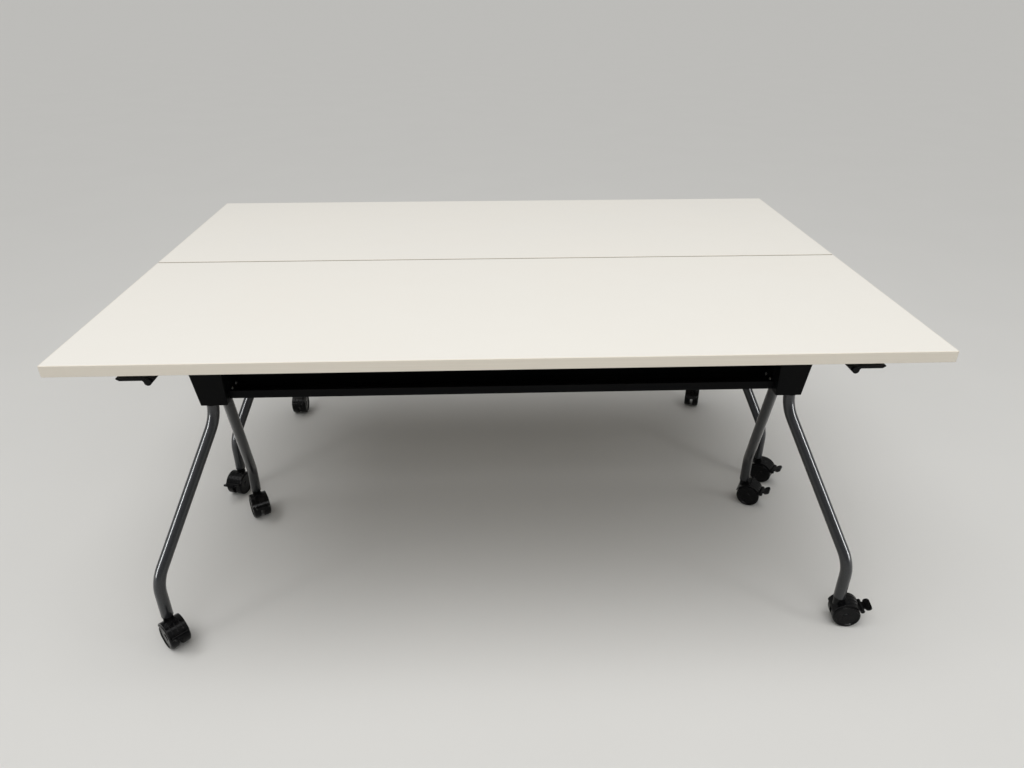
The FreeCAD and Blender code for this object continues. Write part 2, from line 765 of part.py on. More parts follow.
def make_caster_socket():
    """Bush in the end of a leg tube, with a flange under the tube's rim."""
    plug = tube_radius - size.tube_wall - size.pin_fit
    bore = size.stem_diameter / 2 + size.pin_fit
    return make_turned("socket", [
        (bore, size.tube_end - size.socket_flange),
        (tube_radius, size.tube_end - size.socket_flange),
        (tube_radius, size.tube_end),
        (plug, size.tube_end),
        (plug, size.tube_end + size.socket_length),
        (bore, size.tube_end + size.socket_length),
    ])


# Flip rail: a channel under the board whose ears sit inside the head

def make_flip_rail():
    body = new_body("rail")
    left = head_inner_x - size.rail_flange
    right = head_outer_x + size.rail_flange
    plate = new_sketch(body, "XY_Plane", rail_under)
    draw_rectangle(plate, left, rail_front, right, size.pivot_y + size.rail_tail)
    pad(body, plate, size.sheet)
    ear_left = head_inner_x + size.sheet + size.rail_side_gap
    ear_right = head_outer_x - size.sheet - size.rail_side_gap
    half_ear = size.rail_ear_width / 2
    for ear_x in (ear_left, ear_right - size.sheet):
        ear = new_sketch(body, "YZ_Plane", ear_x)
        ear_front = size.pivot_y - half_ear
        ear_back = size.pivot_y + half_ear
        draw_rectangle(ear, ear_front, pivot_z, ear_back, rail_under + size.sheet / 2)
        pad(body, ear, size.sheet)
        ear_end = new_sketch(body, "YZ_Plane", ear_x)
        draw_circle(ear_end, (size.pivot_y, pivot_z), size.ear_radius)
        pad(body, ear_end, size.sheet)
    pivot = new_sketch(body, "YZ_Plane", ear_left)
    draw_circle(pivot, (size.pivot_y, pivot_z), pin_hole)
    pocket(body, pivot, ear_right - ear_left, backwards=True)
    holes = new_sketch(body, "XY_Plane", rail_under)
    for centre in rail_screw_places:
        draw_circle(holes, centre, screw_hole)
    pocket(body, holes, size.sheet, backwards=True)
    return body


# Release lever and the clips that carry its rod

def make_rod_clip():
    """A block with a bore for the rod, hanging from a foot screwed under the board."""
    body = new_body("rod_clip")
    half_block = size.clip_width / 2
    half_foot = size.clip_foot / 2
    foot_under = board_under - size.clip_foot_thickness
    face = new_sketch(body, "XZ_Plane")
    draw_outline(face, [
        (rod_x - half_block, rod_z),
        (rod_x + half_block, rod_z),
        (rod_x + half_block, foot_under),
        (rod_x + half_foot, foot_under),
        (rod_x + half_foot, board_under),
        (rod_x - half_foot, board_under),
        (rod_x - half_foot, foot_under),
        (rod_x - half_block, foot_under),
    ])
    pad(body, face, size.clip_length, both_ways=True)
    saddle = draw_circle(new_sketch(body, "XZ_Plane"), (rod_x, rod_z), half_block)
    pad(body, saddle, size.clip_length, both_ways=True)
    bore = draw_circle(new_sketch(body, "XZ_Plane"), (rod_x, rod_z), rod_radius + size.pin_fit)
    pocket(body, bore, size.clip_length * 2, both_ways=True)
    holes = new_sketch(body, "XY_Plane", foot_under)
    for side in (-1, 1):
        draw_circle(holes, (rod_x + size.clip_screw_offset * side, 0), screw_hole)
    pocket(body, holes, size.clip_foot_thickness, backwards=True)
    return body


def make_release_lever():
    """Paddle moulded over a rod that runs back to the latch hook."""
    body = new_body("lever")
    tongue_top = rod_z + size.paddle_rise
    tongue_under = tongue_top - size.paddle_thickness
    belly = rod_z - size.paddle_belly
    heel_slope = size.paddle_rise + size.paddle_belly
    paddle = new_sketch(body, "XZ_Plane", -paddle_front)
    draw_outline(paddle, [
        (rod_x - size.paddle_heel, tongue_top),
        (rod_x - size.paddle_heel + heel_slope, belly),
        (rod_x + size.hub_radius, belly),
        (rod_x + size.hub_radius + size.paddle_belly, tongue_under),
        (rod_x + size.paddle_tip - size.paddle_thickness, tongue_under),
        (rod_x + size.paddle_tip, tongue_top - size.paddle_thickness / 3),
        (rod_x + size.paddle_tip, tongue_top),
    ])
    pad(body, paddle, size.paddle_depth, backwards=True)

    def tongue_edge(edge):
        return runs_along(edge, Y_AXIS) and edge.CenterOfMass.z > number(tongue_top) - 0.01

    round_edges(body, size.paddle_thickness / 4, tongue_edge)
    rod_front = paddle_front - size.hub_overhang
    hub = draw_circle(new_sketch(body, "XZ_Plane", -rod_front), (rod_x, rod_z), size.hub_radius)
    pad(body, hub, size.paddle_depth + size.hub_overhang * 2, backwards=True)
    rod = draw_circle(new_sketch(body, "XZ_Plane", -rod_front), (rod_x, rod_z), rod_radius)
    pad(body, rod, rod_rear - rod_front, backwards=True)
    hook = new_sketch(body, "XZ_Plane", -rod_rear)
    half_arm = size.hook_width / 2
    hook_bottom = rod_z - size.hook_length
    draw_outline(hook, [
        (rod_x - half_arm, rod_z),
        (rod_x - half_arm, hook_bottom + size.hook_toe),
        (toe_x, hook_bottom + size.hook_toe),
        (toe_x, hook_bottom),
        (rod_x + half_arm, hook_bottom),
        (rod_x + half_arm, rod_z),
    ])
    pad(body, hook, size.hook_depth)
    hook_eye = draw_circle(new_sketch(body, "XZ_Plane", -rod_rear), (rod_x, rod_z), half_arm + size.sheet)
    pad(body, hook_eye, size.hook_depth)
    return body


# Caster, drawn about its stem with its wheels trailing towards +X

def make_caster_fork():
    """Hood and web moulded round the stem and the axle, with hinge knuckles for the pedal."""
    body = new_body("fork")
    axle = (size.caster_trail, wheel_radius)
    well_radius = wheel_radius + size.hood_gap
    hood_radius = well_radius + size.hood_wall
    hinge = (hinge_x, hinge_z)
    hood = draw_circle(new_sketch(body, "XZ_Plane"), axle, hood_radius)
    pad(body, hood, size.hood_half * 2, both_ways=True)
    boss = draw_circle(new_sketch(body, "XY_Plane", wheel_radius), (0, 0), size.boss_radius)
    pad(body, boss, boss_top - wheel_radius)

    # Behind, the hood ends just above the line from the axle to the pedal's hinge, so the treads show.
    ahead = -size.boss_radius * 3
    tilt_across = hinge_along / hinge_arm
    tilt_up = size.hinge_lift / hinge_arm
    edge_length = hinge_arm + size.knuckle_radius * 2
    edge_x = size.caster_trail - size.hood_wall * tilt_up
    edge_z = wheel_radius + size.hood_wall * tilt_across
    behind = edge_x + edge_length * tilt_across
    skirt = new_sketch(body, "XZ_Plane")
    draw_outline(skirt, [
        (ahead, -size.boss_radius),
        (behind, -size.boss_radius),
        (behind, edge_z + edge_length * tilt_up),
        (edge_x, edge_z),
        (-size.boss_radius * 2 / 3, wheel_radius + size.boss_radius),
        (ahead, wheel_radius + size.boss_radius),
    ])
    pocket(body, skirt, size.hood_half * 3, both_ways=True)

    hub = draw_circle(new_sketch(body, "XZ_Plane"), axle, size.hub_web_radius)
    pad(body, hub, size.web_thickness, both_ways=True)
    well_depth = size.hood_half * 2
    for side in (-1, 1):
        well = new_sketch(body, "XZ_Plane", size.web_thickness / 2 * side)
        pocket(body, draw_circle(well, axle, well_radius), well_depth, backwards=side > 0)

    pin = draw_circle(new_sketch(body, "XZ_Plane"), axle, axle_radius)
    pad(body, pin, size.axle_half * 2, both_ways=True)
    knuckles = draw_circle(new_sketch(body, "XZ_Plane"), hinge, size.knuckle_radius)
    pad(body, knuckles, size.knuckle_half * 2, both_ways=True)
    barrel_room = size.pedal_half + size.pedal_side_gap
    room = draw_circle(new_sketch(body, "XZ_Plane"), hinge, size.knuckle_radius + size.pedal_barrel_gap)
    pocket(body, room, barrel_room * 2, both_ways=True)
    bore = draw_circle(new_sketch(body, "XZ_Plane"), hinge, size.pedal_pin_radius + size.pin_fit)
    pocket(body, bore, size.knuckle_half * 3, both_ways=True)
    stem = draw_circle(new_sketch(body, "XY_Plane", boss_top), (0, 0), size.stem_diameter / 2)
    pad(body, stem, size.stem_length)
    return body


def make_wheel():
    """One wheel about the axle, drawn with the axle upright and then laid over."""
    body = new_body("wheel")
    bore = axle_radius + size.pin_fit
    outer = size.wheel_outer
    dish = outer - size.wheel_dish
    bore_end = size.axle_half + size.axle_end_gap
    dish_edge = wheel_radius - size.wheel_rim
    profile = new_sketch(body, "XY_Plane")
    draw_outline(profile, [
        (bore, size.wheel_inner),
        (wheel_radius - size.wheel_round / 2, size.wheel_inner),
        (wheel_radius, size.wheel_inner + size.wheel_round / 2),
        (wheel_radius, outer - size.wheel_round),
        (wheel_radius - size.wheel_round / 3, outer - size.wheel_round / 3),
        (wheel_radius - size.wheel_round, outer),
        (dish_edge + size.wheel_dish, outer),
        (dish_edge, dish),
        (size.wheel_cap + size.wheel_dish, dish),
        (size.wheel_cap, outer),
        (0, outer),
        (0, bore_end),
        (bore, bore_end),
    ])
    revolve(body, profile)
    return body


def make_pedal():
    """Brake pedal about its hinge: barrel, neck, oval tab with a rim, and a shoe for the treads."""
    body = new_body("pedal")
    barrel_radius = size.knuckle_radius - size.pedal_barrel_gap
    half_tab = size.pedal_thickness / 2
    tab_length = size.pedal_reach - size.pedal_neck
    tab_round = tab_length * 0.46
    barrel = draw_circle(new_sketch(body, "XZ_Plane"), (0, 0), barrel_radius)
    pad(body, barrel, size.pedal_half * 2, both_ways=True)
    tab = new_sketch(body, "XY_Plane", -half_tab)
    draw_rectangle(tab, size.pedal_neck, -size.pedal_tab_half, size.pedal_reach, size.pedal_tab_half)
    pad(body, tab, size.pedal_thickness)
    round_edges(body, tab_round, lambda edge: runs_along(edge, Z_AXIS))
    dish = new_sketch(body, "XY_Plane", half_tab)
    draw_rectangle(
        dish,
        size.pedal_neck + size.pedal_rim, size.pedal_rim - size.pedal_tab_half,
        size.pedal_reach - size.pedal_rim, size.pedal_tab_half - size.pedal_rim,
    )
    pocket(body, dish, size.pedal_dish)

    def dish_corner(edge):
        return runs_along(edge, Z_AXIS) and abs(edge.Length - number(size.pedal_dish)) < 0.01

    round_edges(body, tab_round - size.pedal_rim, dish_corner)
    neck = new_sketch(body, "XZ_Plane")
    draw_rectangle(neck, 0, -half_tab, size.pedal_neck + size.pedal_rim / 2, half_tab)
    pad(body, neck, size.pedal_half * 2, both_ways=True)
    shoe = new_sketch(body, "XZ_Plane")
    draw_outline(shoe, [
        (0, 0),
        (-size.shoe_reach, -size.shoe_length / 4),
        (-size.shoe_reach, -size.shoe_length),
        (0, -size.shoe_length),
    ])
    pad(body, shoe, size.pedal_half * 2, both_ways=True)
    pin = draw_circle(new_sketch(body, "XZ_Plane"), (0, 0), size.pedal_pin_radius)
    pad(body, pin, size.knuckle_half * 2, both_ways=True)
    return body


# The pieces of one table, and the nodes that they make

board = make_tabletop()
band = make_edge_band()
head = make_leg_head()
front_leg = make_front_leg()
rear_leg = make_rear_leg()
trough = make_cable_trough()
rail = make_flip_rail()
lever = make_release_lever()
rod_clip = make_rod_clip()
wood_screw = make_wood_screw()
trough_bolt = make_trough_bolt()
pivot_pin = make_pivot_pin()
rest_pad = make_rest_pad()
socket = make_caster_socket()
fork = make_caster_fork()
wheel = make_wheel()
pedal = make_pedal()
doc.recompute()

opposite_wheel = doc.addObject("Part::Mirroring", "opposite_wheel")
opposite_wheel.Source = wheel
opposite_wheel.Normal = Y_AXIS
laid_pin = group("laid_pin", [pivot_pin], x=head_inner_x, y=size.pivot_y, z=pivot_z)
laid_pin.Placement.Rotation = FreeCAD.Rotation(Y_AXIS, 90)

bolts = []
for index, (y, z) in enumerate(bolt_places):
    bolt = group(f"bolt_{index}", [trough_bolt], x=head_inner_x - size.sheet, y=y, z=z)
    bolt.Placement.Rotation = FreeCAD.Rotation(Y_AXIS, 90)
    bolts.append(bolt)
rail_screws = [
    group(f"rail_screw_{index}", [wood_screw], x=x, y=y, z=rail_under)
    for index, (x, y) in enumerate(rail_screw_places)
]
clip_screws = [
    group(f"clip_screw_{index}", [wood_screw], x=x, y=y, z=board_under - size.clip_foot_thickness)
    for index, (x, y) in enumerate(clip_screw_places)
]
pads = [
    group(f"pad_{index}", [rest_pad], x=x, y=head_front + size.sheet / 2, z=rail_under)
    for index, x in enumerate((head_inner_x + size.pad_inset, head_outer_x - size.pad_inset))
]
clips = [
    group(f"clip_{index}", [rod_clip], y=y)
    for index, y in enumerate((clip_front_y, clip_rear_y))
]
stems = {
    "front": (front_stem_x, front_stem_y),
    "rear": (rear_stem_x, rear_stem_y),
}
sockets = [group(f"socket_{row}", [socket], x=x, y=y) for row, (x, y) in stems.items()]


def both_sides(pieces):
    return pieces + [mirror_left(piece) for piece in pieces]


whole_width = {
    "tabletop": [board],
    "edge_band": [band],
    "cable_trough": [trough],
    "flip_rails": both_sides([rail]),
    "pivot_pins": both_sides([laid_pin]),
    "rest_pads": both_sides(pads),
    "top_screws": both_sides(rail_screws + clip_screws),
    "rod_clips": both_sides(clips),
    "trough_screws": both_sides(bolts),
    "caster_sockets": both_sides(sockets),
}
each_side = {
    "leg_head": head,
    "front_leg": front_leg,
    "rear_leg": rear_leg,
    "release_lever": lever,
}
left_forms = {name: mirror_left(piece) for name, piece in each_side.items()}

nodes = []
table_pitch = size.top_depth + size.seam_gap
for table, table_y in (("near", size.seam_y - table_pitch / 2), ("far", size.seam_y + table_pitch / 2)):
    for name, pieces in whole_width.items():
        nodes.append(group(f"{table}_{name}", pieces, y=table_y))
    for name, piece in each_side.items():
        nodes.append(group(f"{table}_right_{name}", [piece], y=table_y))
        nodes.append(group(f"{table}_left_{name}", [left_forms[name]], y=table_y))
    for side, sign in (("left", -1), ("right", 1)):
        for row, (stem_x, stem_y) in stems.items():
            caster = f"{table}_{side}_{row}_caster"
            heading = CASTER_HEADING[table, side, row]
            trail_x = math.cos(math.radians(heading))
            trail_y = math.sin(math.radians(heading))
            x = stem_x * sign
            y = table_y + stem_y
            axle_x = x + size.caster_trail * trail_x
            axle_y = y + size.caster_trail * trail_y
            hinge_at_x = x + hinge_x * trail_x
            hinge_at_y = y + hinge_x * trail_y
            nodes.append(group(f"{caster}_fork", [fork], x=x, y=y, turn=heading))
            wheels = group(f"{caster}_wheels", [wheel, opposite_wheel], x=axle_x, y=axle_y, z=wheel_radius)
            wheels.Placement.Rotation = FreeCAD.Rotation(Z_AXIS, heading)
            nodes.append(wheels)
            brake_pedal = group(f"{caster}_pedal", [pedal], x=hinge_at_x, y=hinge_at_y, z=hinge_z)
            tilted = FreeCAD.Rotation(Y_AXIS, -number(hinge_tilt))
            brake_pedal.Placement.Rotation = FreeCAD.Rotation(Z_AXIS, heading) * tilted
            nodes.append(brake_pedal)

doc.recompute()

# Every object has to be sound before any file is written.
for thing in doc.Objects:
    if "Invalid" in thing.State or "Error" in thing.State:
        raise RuntimeError(f"{thing.Label} failed: {thing.State}")
for node in nodes:
    if node.Shape.isNull() or not node.Shape.isValid():
        raise RuntimeError(f"{node.Label} has no sound shape")

os.makedirs("parts", exist_ok=True)
for node in nodes:
    node.Shape.exportStep(f"parts/{node.Label}.step")
whole = Part.makeCompound([node.Shape for node in nodes]).BoundBox
print(len(nodes), "nodes;", whole)
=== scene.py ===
# %% [markdown]
# # A conference table made of two flip-top tables
# Two alike tables stand long edge to long edge. Each has a white laminate top that tips up for
# storage, legs of bent steel tube in a graphite coat, a black cable trough and black twin-wheel casters.
# The shapes come from the CAD model, which is loaded first and never moved. This lesson gives every
# piece its finish and adds the small forms that a maker would see from a step away.

# %% Load the CAD model
import itertools
import json
import math

import bpy
from mathutils import Matrix, Vector


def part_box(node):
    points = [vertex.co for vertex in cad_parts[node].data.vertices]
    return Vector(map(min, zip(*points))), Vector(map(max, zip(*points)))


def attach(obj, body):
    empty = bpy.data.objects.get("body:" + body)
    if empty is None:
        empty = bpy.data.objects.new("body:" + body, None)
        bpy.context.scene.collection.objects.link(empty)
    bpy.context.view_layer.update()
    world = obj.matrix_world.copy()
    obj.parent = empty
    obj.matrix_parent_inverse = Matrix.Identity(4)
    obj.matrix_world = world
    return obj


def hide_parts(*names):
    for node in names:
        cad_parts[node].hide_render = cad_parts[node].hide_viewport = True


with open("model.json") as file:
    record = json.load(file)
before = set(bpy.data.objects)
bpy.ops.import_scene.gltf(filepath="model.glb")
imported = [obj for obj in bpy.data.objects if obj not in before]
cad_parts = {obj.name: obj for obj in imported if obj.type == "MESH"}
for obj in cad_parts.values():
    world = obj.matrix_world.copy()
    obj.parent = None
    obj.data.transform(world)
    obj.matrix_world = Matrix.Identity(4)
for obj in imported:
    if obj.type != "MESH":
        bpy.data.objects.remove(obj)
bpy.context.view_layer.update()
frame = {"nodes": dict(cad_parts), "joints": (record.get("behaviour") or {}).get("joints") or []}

# %% [markdown]
# ## Where things are
# Every later piece is placed from the CAD model, so a few places are read once: the middle and the
# underside of the tabletops, and the joints, which give each caster's stem, axle and pedal hinge. Numbers
# copied from a drawing would do as well, until the drawing changes.

# %% Read the places
MILLIMETRE = 0.001
table_middle = {}
for table in ("near", "far"):
    low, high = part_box(f"{table}_tabletop")
    table_middle[table] = (low.y + high.y) / 2
    board_underside = low.z
joint_place = {joint["name"]: Vector(joint["pos_m"]) for joint in frame["joints"] if "pos_m" in joint}
casters = []
for table in table_middle:
    for corner in ("left_front", "left_rear", "right_front", "right_rear"):
        casters.append(f"{table}_{corner}")
seam_y = sum(table_middle.values()) / len(table_middle)
print("tabletop middles:", table_middle, "joint of the tops:", seam_y)

# %% [markdown]
# ## Colours and nodes
# Colours are written as the sRGB hex codes that a paint chart would give, and Blender wants linear
# light, so one function converts them. A second small function adds a shader node with its settings
# and links, which keeps each finish short enough to read in one go.


# %% Colour and node helpers
def paint(code):
    """A hex sRGB colour as linear red, green, blue and alpha, by the formula of the sRGB standard."""
    channels = [int(code[i:i + 2], 16) / 255 for i in (1, 3, 5)]
    return [c / 12.92 if c <= 0.04045 else ((c + 0.055) / 1.055) ** 2.4 for c in channels] + [1.0]


def add_node(tree, kind, sockets=None, **settings):
    """A node with its settings, whose sockets take a value or a link."""
    made = tree.nodes.new(kind)
    for name, value in settings.items():
        setattr(made, name, value)
    for socket, value in (sockets or {}).items():
        if isinstance(value, bpy.types.NodeSocket):
            tree.links.new(value, made.inputs[socket])
        else:
            made.inputs[socket].default_value = value
    return made


def start_finish(name, constants):
    """A material whose shader has these constants, with its tree, shader and Object coordinates."""
    material = bpy.data.materials.new(name)
    material.use_nodes = True
    tree = material.node_tree
    shader = tree.nodes["Principled BSDF"]
    for socket, value in constants.items():
        shader.inputs[socket].default_value = value
    place = add_node(tree, "ShaderNodeTexCoord").outputs["Object"]
    return material, tree, shader, place


# The Mix node has one pair of inputs for each kind of data; these are the colour ones.
MIX_A, MIX_B, MIX_RESULT = 6, 7, 2
print("white paint in linear light:", paint("#FFFFFF"))

# %% [markdown]
# ## White laminate
# The tops are high-pressure laminate: printed paper under a clear melamine skin, pressed against a
# plate with a fine suede texture. It reads as an even warm white with a soft, broad sheen. Hands and
# cleaning leave slow changes of gloss, so roughness wanders over more than a hand's width. The suede
# grain is about half a millimetre, too fine for the render, so it is drawn four times as coarse. The
# underside has the plain paper backer that keeps such boards flat, so the colour changes with height.


# %% Laminate
def white_laminate():
    gloss_width = 280 * MILLIMETRE
    drawn_grain = 2 * MILLIMETRE
    backer_top = board_underside + 0.2 * MILLIMETRE
    material, tree, shader, place = start_finish("white_laminate", {"IOR": 1.5})
    cloud = add_node(tree, "ShaderNodeTexNoise", {"Vector": place, "Scale": 1 / gloss_width, "Detail": 4.0})
    height = add_node(tree, "ShaderNodeSeparateXYZ", {"Vector": place}).outputs["Z"]
    backer = add_node(tree, "ShaderNodeMath", {0: height, 1: backer_top}, operation="LESS_THAN")
    white = add_node(
        tree, "ShaderNodeMix",
        {0: cloud.outputs["Fac"], MIX_A: paint("#E9E6DF"), MIX_B: paint("#E4E0D8")},
        data_type="RGBA",
    )
    colour = add_node(
        tree, "ShaderNodeMix",
        {0: backer.outputs[0], MIX_A: white.outputs[MIX_RESULT], MIX_B: paint("#B5AB9C")},
        data_type="RGBA",
    )
    gloss = add_node(
        tree, "ShaderNodeMapRange",
        {"Value": cloud.outputs["Fac"], "From Min": 0.3, "From Max": 0.7, "To Min": 0.36, "To Max": 0.46},
    )
    grain = add_node(tree, "ShaderNodeTexNoise", {"Vector": place, "Scale": 1 / drawn_grain, "Detail": 2.0})
    bump = add_node(
        tree, "ShaderNodeBump",
        {"Height": grain.outputs["Fac"], "Strength": 0.12, "Distance": 0.05 * MILLIMETRE},
    )
    tree.links.new(colour.outputs[MIX_RESULT], shader.inputs["Base Color"])
    tree.links.new(gloss.outputs["Result"], shader.inputs["Roughness"])
    tree.links.new(bump.outputs["Normal"], shader.inputs["Normal"])
    return material


laminate = white_laminate()
print("finish:", laminate.name)

# %% [markdown]
# ## Edge band
# The edges are closed by a band of extruded ABS, ironed on with hot glue. It is a shade greyer and
# warmer than the laminate, and the extruder leaves fine lines along its length. A noise that is squeezed
# in height gives those lines on all four edges. They are much finer than a millimetre, and are drawn 2.5 mm
# apart so that they show. Knees and door frames knock the edges, so the gloss is duller in places. Where the
# two tables meet, a darker grey is painted on the bands as the shade in the gap, which draws the joint as a
# thin line.


# %% ABS band
def abs_band():
    line_length, drawn_line = 1 / 3, 2.5 * MILLIMETRE
    knock_width = 60 * MILLIMETRE
    seam_shade_reach = 2.5 * MILLIMETRE
    squeeze = (1 / line_length, 1 / line_length, 1 / drawn_line)
    material, tree, shader, place = start_finish("abs_edge_band", {"IOR": 1.52})
    squeezed = add_node(tree, "ShaderNodeMapping", {"Vector": place, "Scale": squeeze}).outputs["Vector"]
    lines = add_node(tree, "ShaderNodeTexNoise", {"Vector": squeezed, "Scale": 1.0, "Detail": 3.0})
    knocks = add_node(tree, "ShaderNodeTexNoise", {"Vector": place, "Scale": 1 / knock_width, "Detail": 3.0})
    colour = add_node(
        tree, "ShaderNodeMix",
        {0: lines.outputs["Fac"], MIX_A: paint("#E5DED1"), MIX_B: paint("#DED6C8")},
        data_type="RGBA",
    )
    across = add_node(tree, "ShaderNodeSeparateXYZ", {"Vector": place}).outputs["Y"]
    # Painted shade: within 2.5 mm of the joint between the two tables the band is painted darker grey,
    # standing in for the shade in the gap.
    seam_shade_mask = add_node(tree, "ShaderNodeMath", {0: across, 1: seam_y, 2: seam_shade_reach}, operation="COMPARE")
    painted_seam_shade = add_node(
        tree, "ShaderNodeMix",
        {0: seam_shade_mask.outputs[0], MIX_A: colour.outputs[MIX_RESULT], MIX_B: paint("#8E877B")},
        data_type="RGBA",
    )
    gloss = add_node(
        tree, "ShaderNodeMapRange",
        {"Value": knocks.outputs["Fac"], "From Min": 0.35, "From Max": 0.7, "To Min": 0.4, "To Max": 0.58},
    )
    bump = add_node(
        tree, "ShaderNodeBump",
        {"Height": lines.outputs["Fac"], "Strength": 0.15, "Distance": 0.1 * MILLIMETRE},
    )
    tree.links.new(painted_seam_shade.outputs[MIX_RESULT], shader.inputs["Base Color"])
    tree.links.new(gloss.outputs["Result"], shader.inputs["Roughness"])
    tree.links.new(bump.outputs["Normal"], shader.inputs["Normal"])
    return material


band = abs_band()
print("finish:", band.name)

# %% [markdown]
# ## Graphite powder coat
# The leg tubes are sprayed with a metallic polyester powder and baked. Aluminium flakes lie at all
# angles just under the skin, so the tube glints along its lit side and falls off to a cool charcoal. The
# clear skin over the flakes is the shader's coat. The melted powder dries with a gentle orange peel, with
# bumps about three millimetres across. Flakes are a tenth of a millimetre and can't be seen one by one, so
# they are drawn at about one millimetre.

# %% Graphite coat
PEEL_WIDTH = 3 * MILLIMETRE
PEEL_DEPTH = 0.15 * MILLIMETRE
FLAKES_UNDER_SKIN = {
    "Metallic": 0.5,
    "Specular IOR Level": 0.25,
    "Coat Weight": 1.0,
    "Coat Roughness": 0.14,
    "Coat IOR": 1.45,
}


def graphite_coat():
    drawn_flake = 1.1 * MILLIMETRE
    wear_width = 90 * MILLIMETRE
    material, tree, shader, place = start_finish("graphite_powder_coat", FLAKES_UNDER_SKIN)
    flakes = add_node(tree, "ShaderNodeTexVoronoi", {"Vector": place, "Scale": 1 / drawn_flake})
    flake_tone = add_node(tree, "ShaderNodeSeparateColor", {"Color": flakes.outputs["Color"]})
    colour = add_node(
        tree, "ShaderNodeMix",
        {0: flake_tone.outputs["Red"], MIX_A: paint("#17181A"), MIX_B: paint("#26282B")},
        data_type="RGBA",
    )
    peel = add_node(tree, "ShaderNodeTexNoise", {"Vector": place, "Scale": 1 / PEEL_WIDTH, "Detail": 1.0})
    wear = add_node(tree, "ShaderNodeTexNoise", {"Vector": place, "Scale": 1 / wear_width, "Detail": 4.0})
    gloss = add_node(
        tree, "ShaderNodeMapRange",
        {"Value": wear.outputs["Fac"], "From Min": 0.3, "From Max": 0.7, "To Min": 0.30, "To Max": 0.40},
    )
    bump = add_node(
        tree, "ShaderNodeBump", {"Height": peel.outputs["Fac"], "Strength": 0.12, "Distance": PEEL_DEPTH}
    )
    tree.links.new(colour.outputs[MIX_RESULT], shader.inputs["Base Color"])
    tree.links.new(gloss.outputs["Result"], shader.inputs["Roughness"])
    tree.links.new(bump.outputs["Normal"], shader.inputs["Normal"])
    return material


graphite = graphite_coat()
print("finish:", graphite.name)

# %% [markdown]
# ## Black powder coat
# The leg heads, the trough and the rails under the top wear the plain black version of the same coat:
# no flakes, a satin skin and the same orange peel, with a little dust that lightens it here and there. The
# trough is a shade darker than the heads, so one function makes both.


# %% Black coat
def black_coat(name, dark, dusty):
    dust_width = 120 * MILLIMETRE
    material, tree, shader, place = start_finish(name, {"IOR": 1.5, "Specular IOR Level": 0.07})
    dust = add_node(tree, "ShaderNodeTexNoise", {"Vector": place, "Scale": 1 / dust_width, "Detail": 5.0})
    colour = add_node(
        tree, "ShaderNodeMix",
        {0: dust.outputs["Fac"], MIX_A: paint(dark), MIX_B: paint(dusty)},
        data_type="RGBA",
    )
    gloss = add_node(
        tree, "ShaderNodeMapRange",
        {"Value": dust.outputs["Fac"], "From Min": 0.3, "From Max": 0.7, "To Min": 0.38, "To Max": 0.52},
    )
    peel = add_node(tree, "ShaderNodeTexNoise", {"Vector": place, "Scale": 1 / PEEL_WIDTH, "Detail": 1.0})
    bump = add_node(
        tree, "ShaderNodeBump", {"Height": peel.outputs["Fac"], "Strength": 0.15, "Distance": PEEL_DEPTH}
    )
    tree.links.new(colour.outputs[MIX_RESULT], shader.inputs["Base Color"])
    tree.links.new(gloss.outputs["Result"], shader.inputs["Roughness"])
    tree.links.new(bump.outputs["Normal"], shader.inputs["Normal"])
    return material


head_coat = black_coat("head_powder_coat", dark="#060708", dusty="#0B0C0D")
trough_coat = black_coat("trough_powder_coat", dark="#050607", dusty="#090A0C")
print("finishes:", head_coat.name, trough_coat.name)

# %% [markdown]
# ## Moulded plastics and rubber
# Hoods and pedals are glass-filled nylon from a polished mould: nearly black, with a clear highlight.
# The wheels are the same nylon, dulled by the floor. The paddles and clips are ABS from a spark-eroded
# mould, which leaves an even matt grain of about half a millimetre, drawn here at a full millimetre so that
# it shows. The rest pads are rubber, which is paler and duller. All of them hold a little dust, so one
# function makes the four, with its own gloss and grain for each.


# %% Nylon, ABS and rubber
def moulded_plastic(name, dark, dusty, dust_share, smoothest, roughest, grain_width, grain_depth):
    dust_width = 14 * MILLIMETRE
    material, tree, shader, place = start_finish(name, {"IOR": 1.53, "Specular IOR Level": 0.14})
    dust = add_node(tree, "ShaderNodeTexNoise", {"Vector": place, "Scale": 1 / dust_width, "Detail": 5.0})
    dusting = add_node(
        tree, "ShaderNodeMapRange",
        {
            "Value": dust.outputs["Fac"], "From Min": 0.45, "From Max": 0.8,
            "To Min": 0.0, "To Max": dust_share,
        },
    )
    colour = add_node(
        tree, "ShaderNodeMix",
        {0: dusting.outputs["Result"], MIX_A: paint(dark), MIX_B: paint(dusty)},
        data_type="RGBA",
    )
    gloss = add_node(
        tree, "ShaderNodeMapRange",
        {
            "Value": dust.outputs["Fac"], "From Min": 0.3, "From Max": 0.7,
            "To Min": smoothest, "To Max": roughest,
        },
    )
    grain = add_node(tree, "ShaderNodeTexNoise", {"Vector": place, "Scale": 1 / grain_width, "Detail": 2.0})
    bump = add_node(
        tree, "ShaderNodeBump", {"Height": grain.outputs["Fac"], "Strength": 0.2, "Distance": grain_depth}
    )
    tree.links.new(colour.outputs[MIX_RESULT], shader.inputs["Base Color"])
    tree.links.new(gloss.outputs["Result"], shader.inputs["Roughness"])
    tree.links.new(bump.outputs["Normal"], shader.inputs["Normal"])
    return material


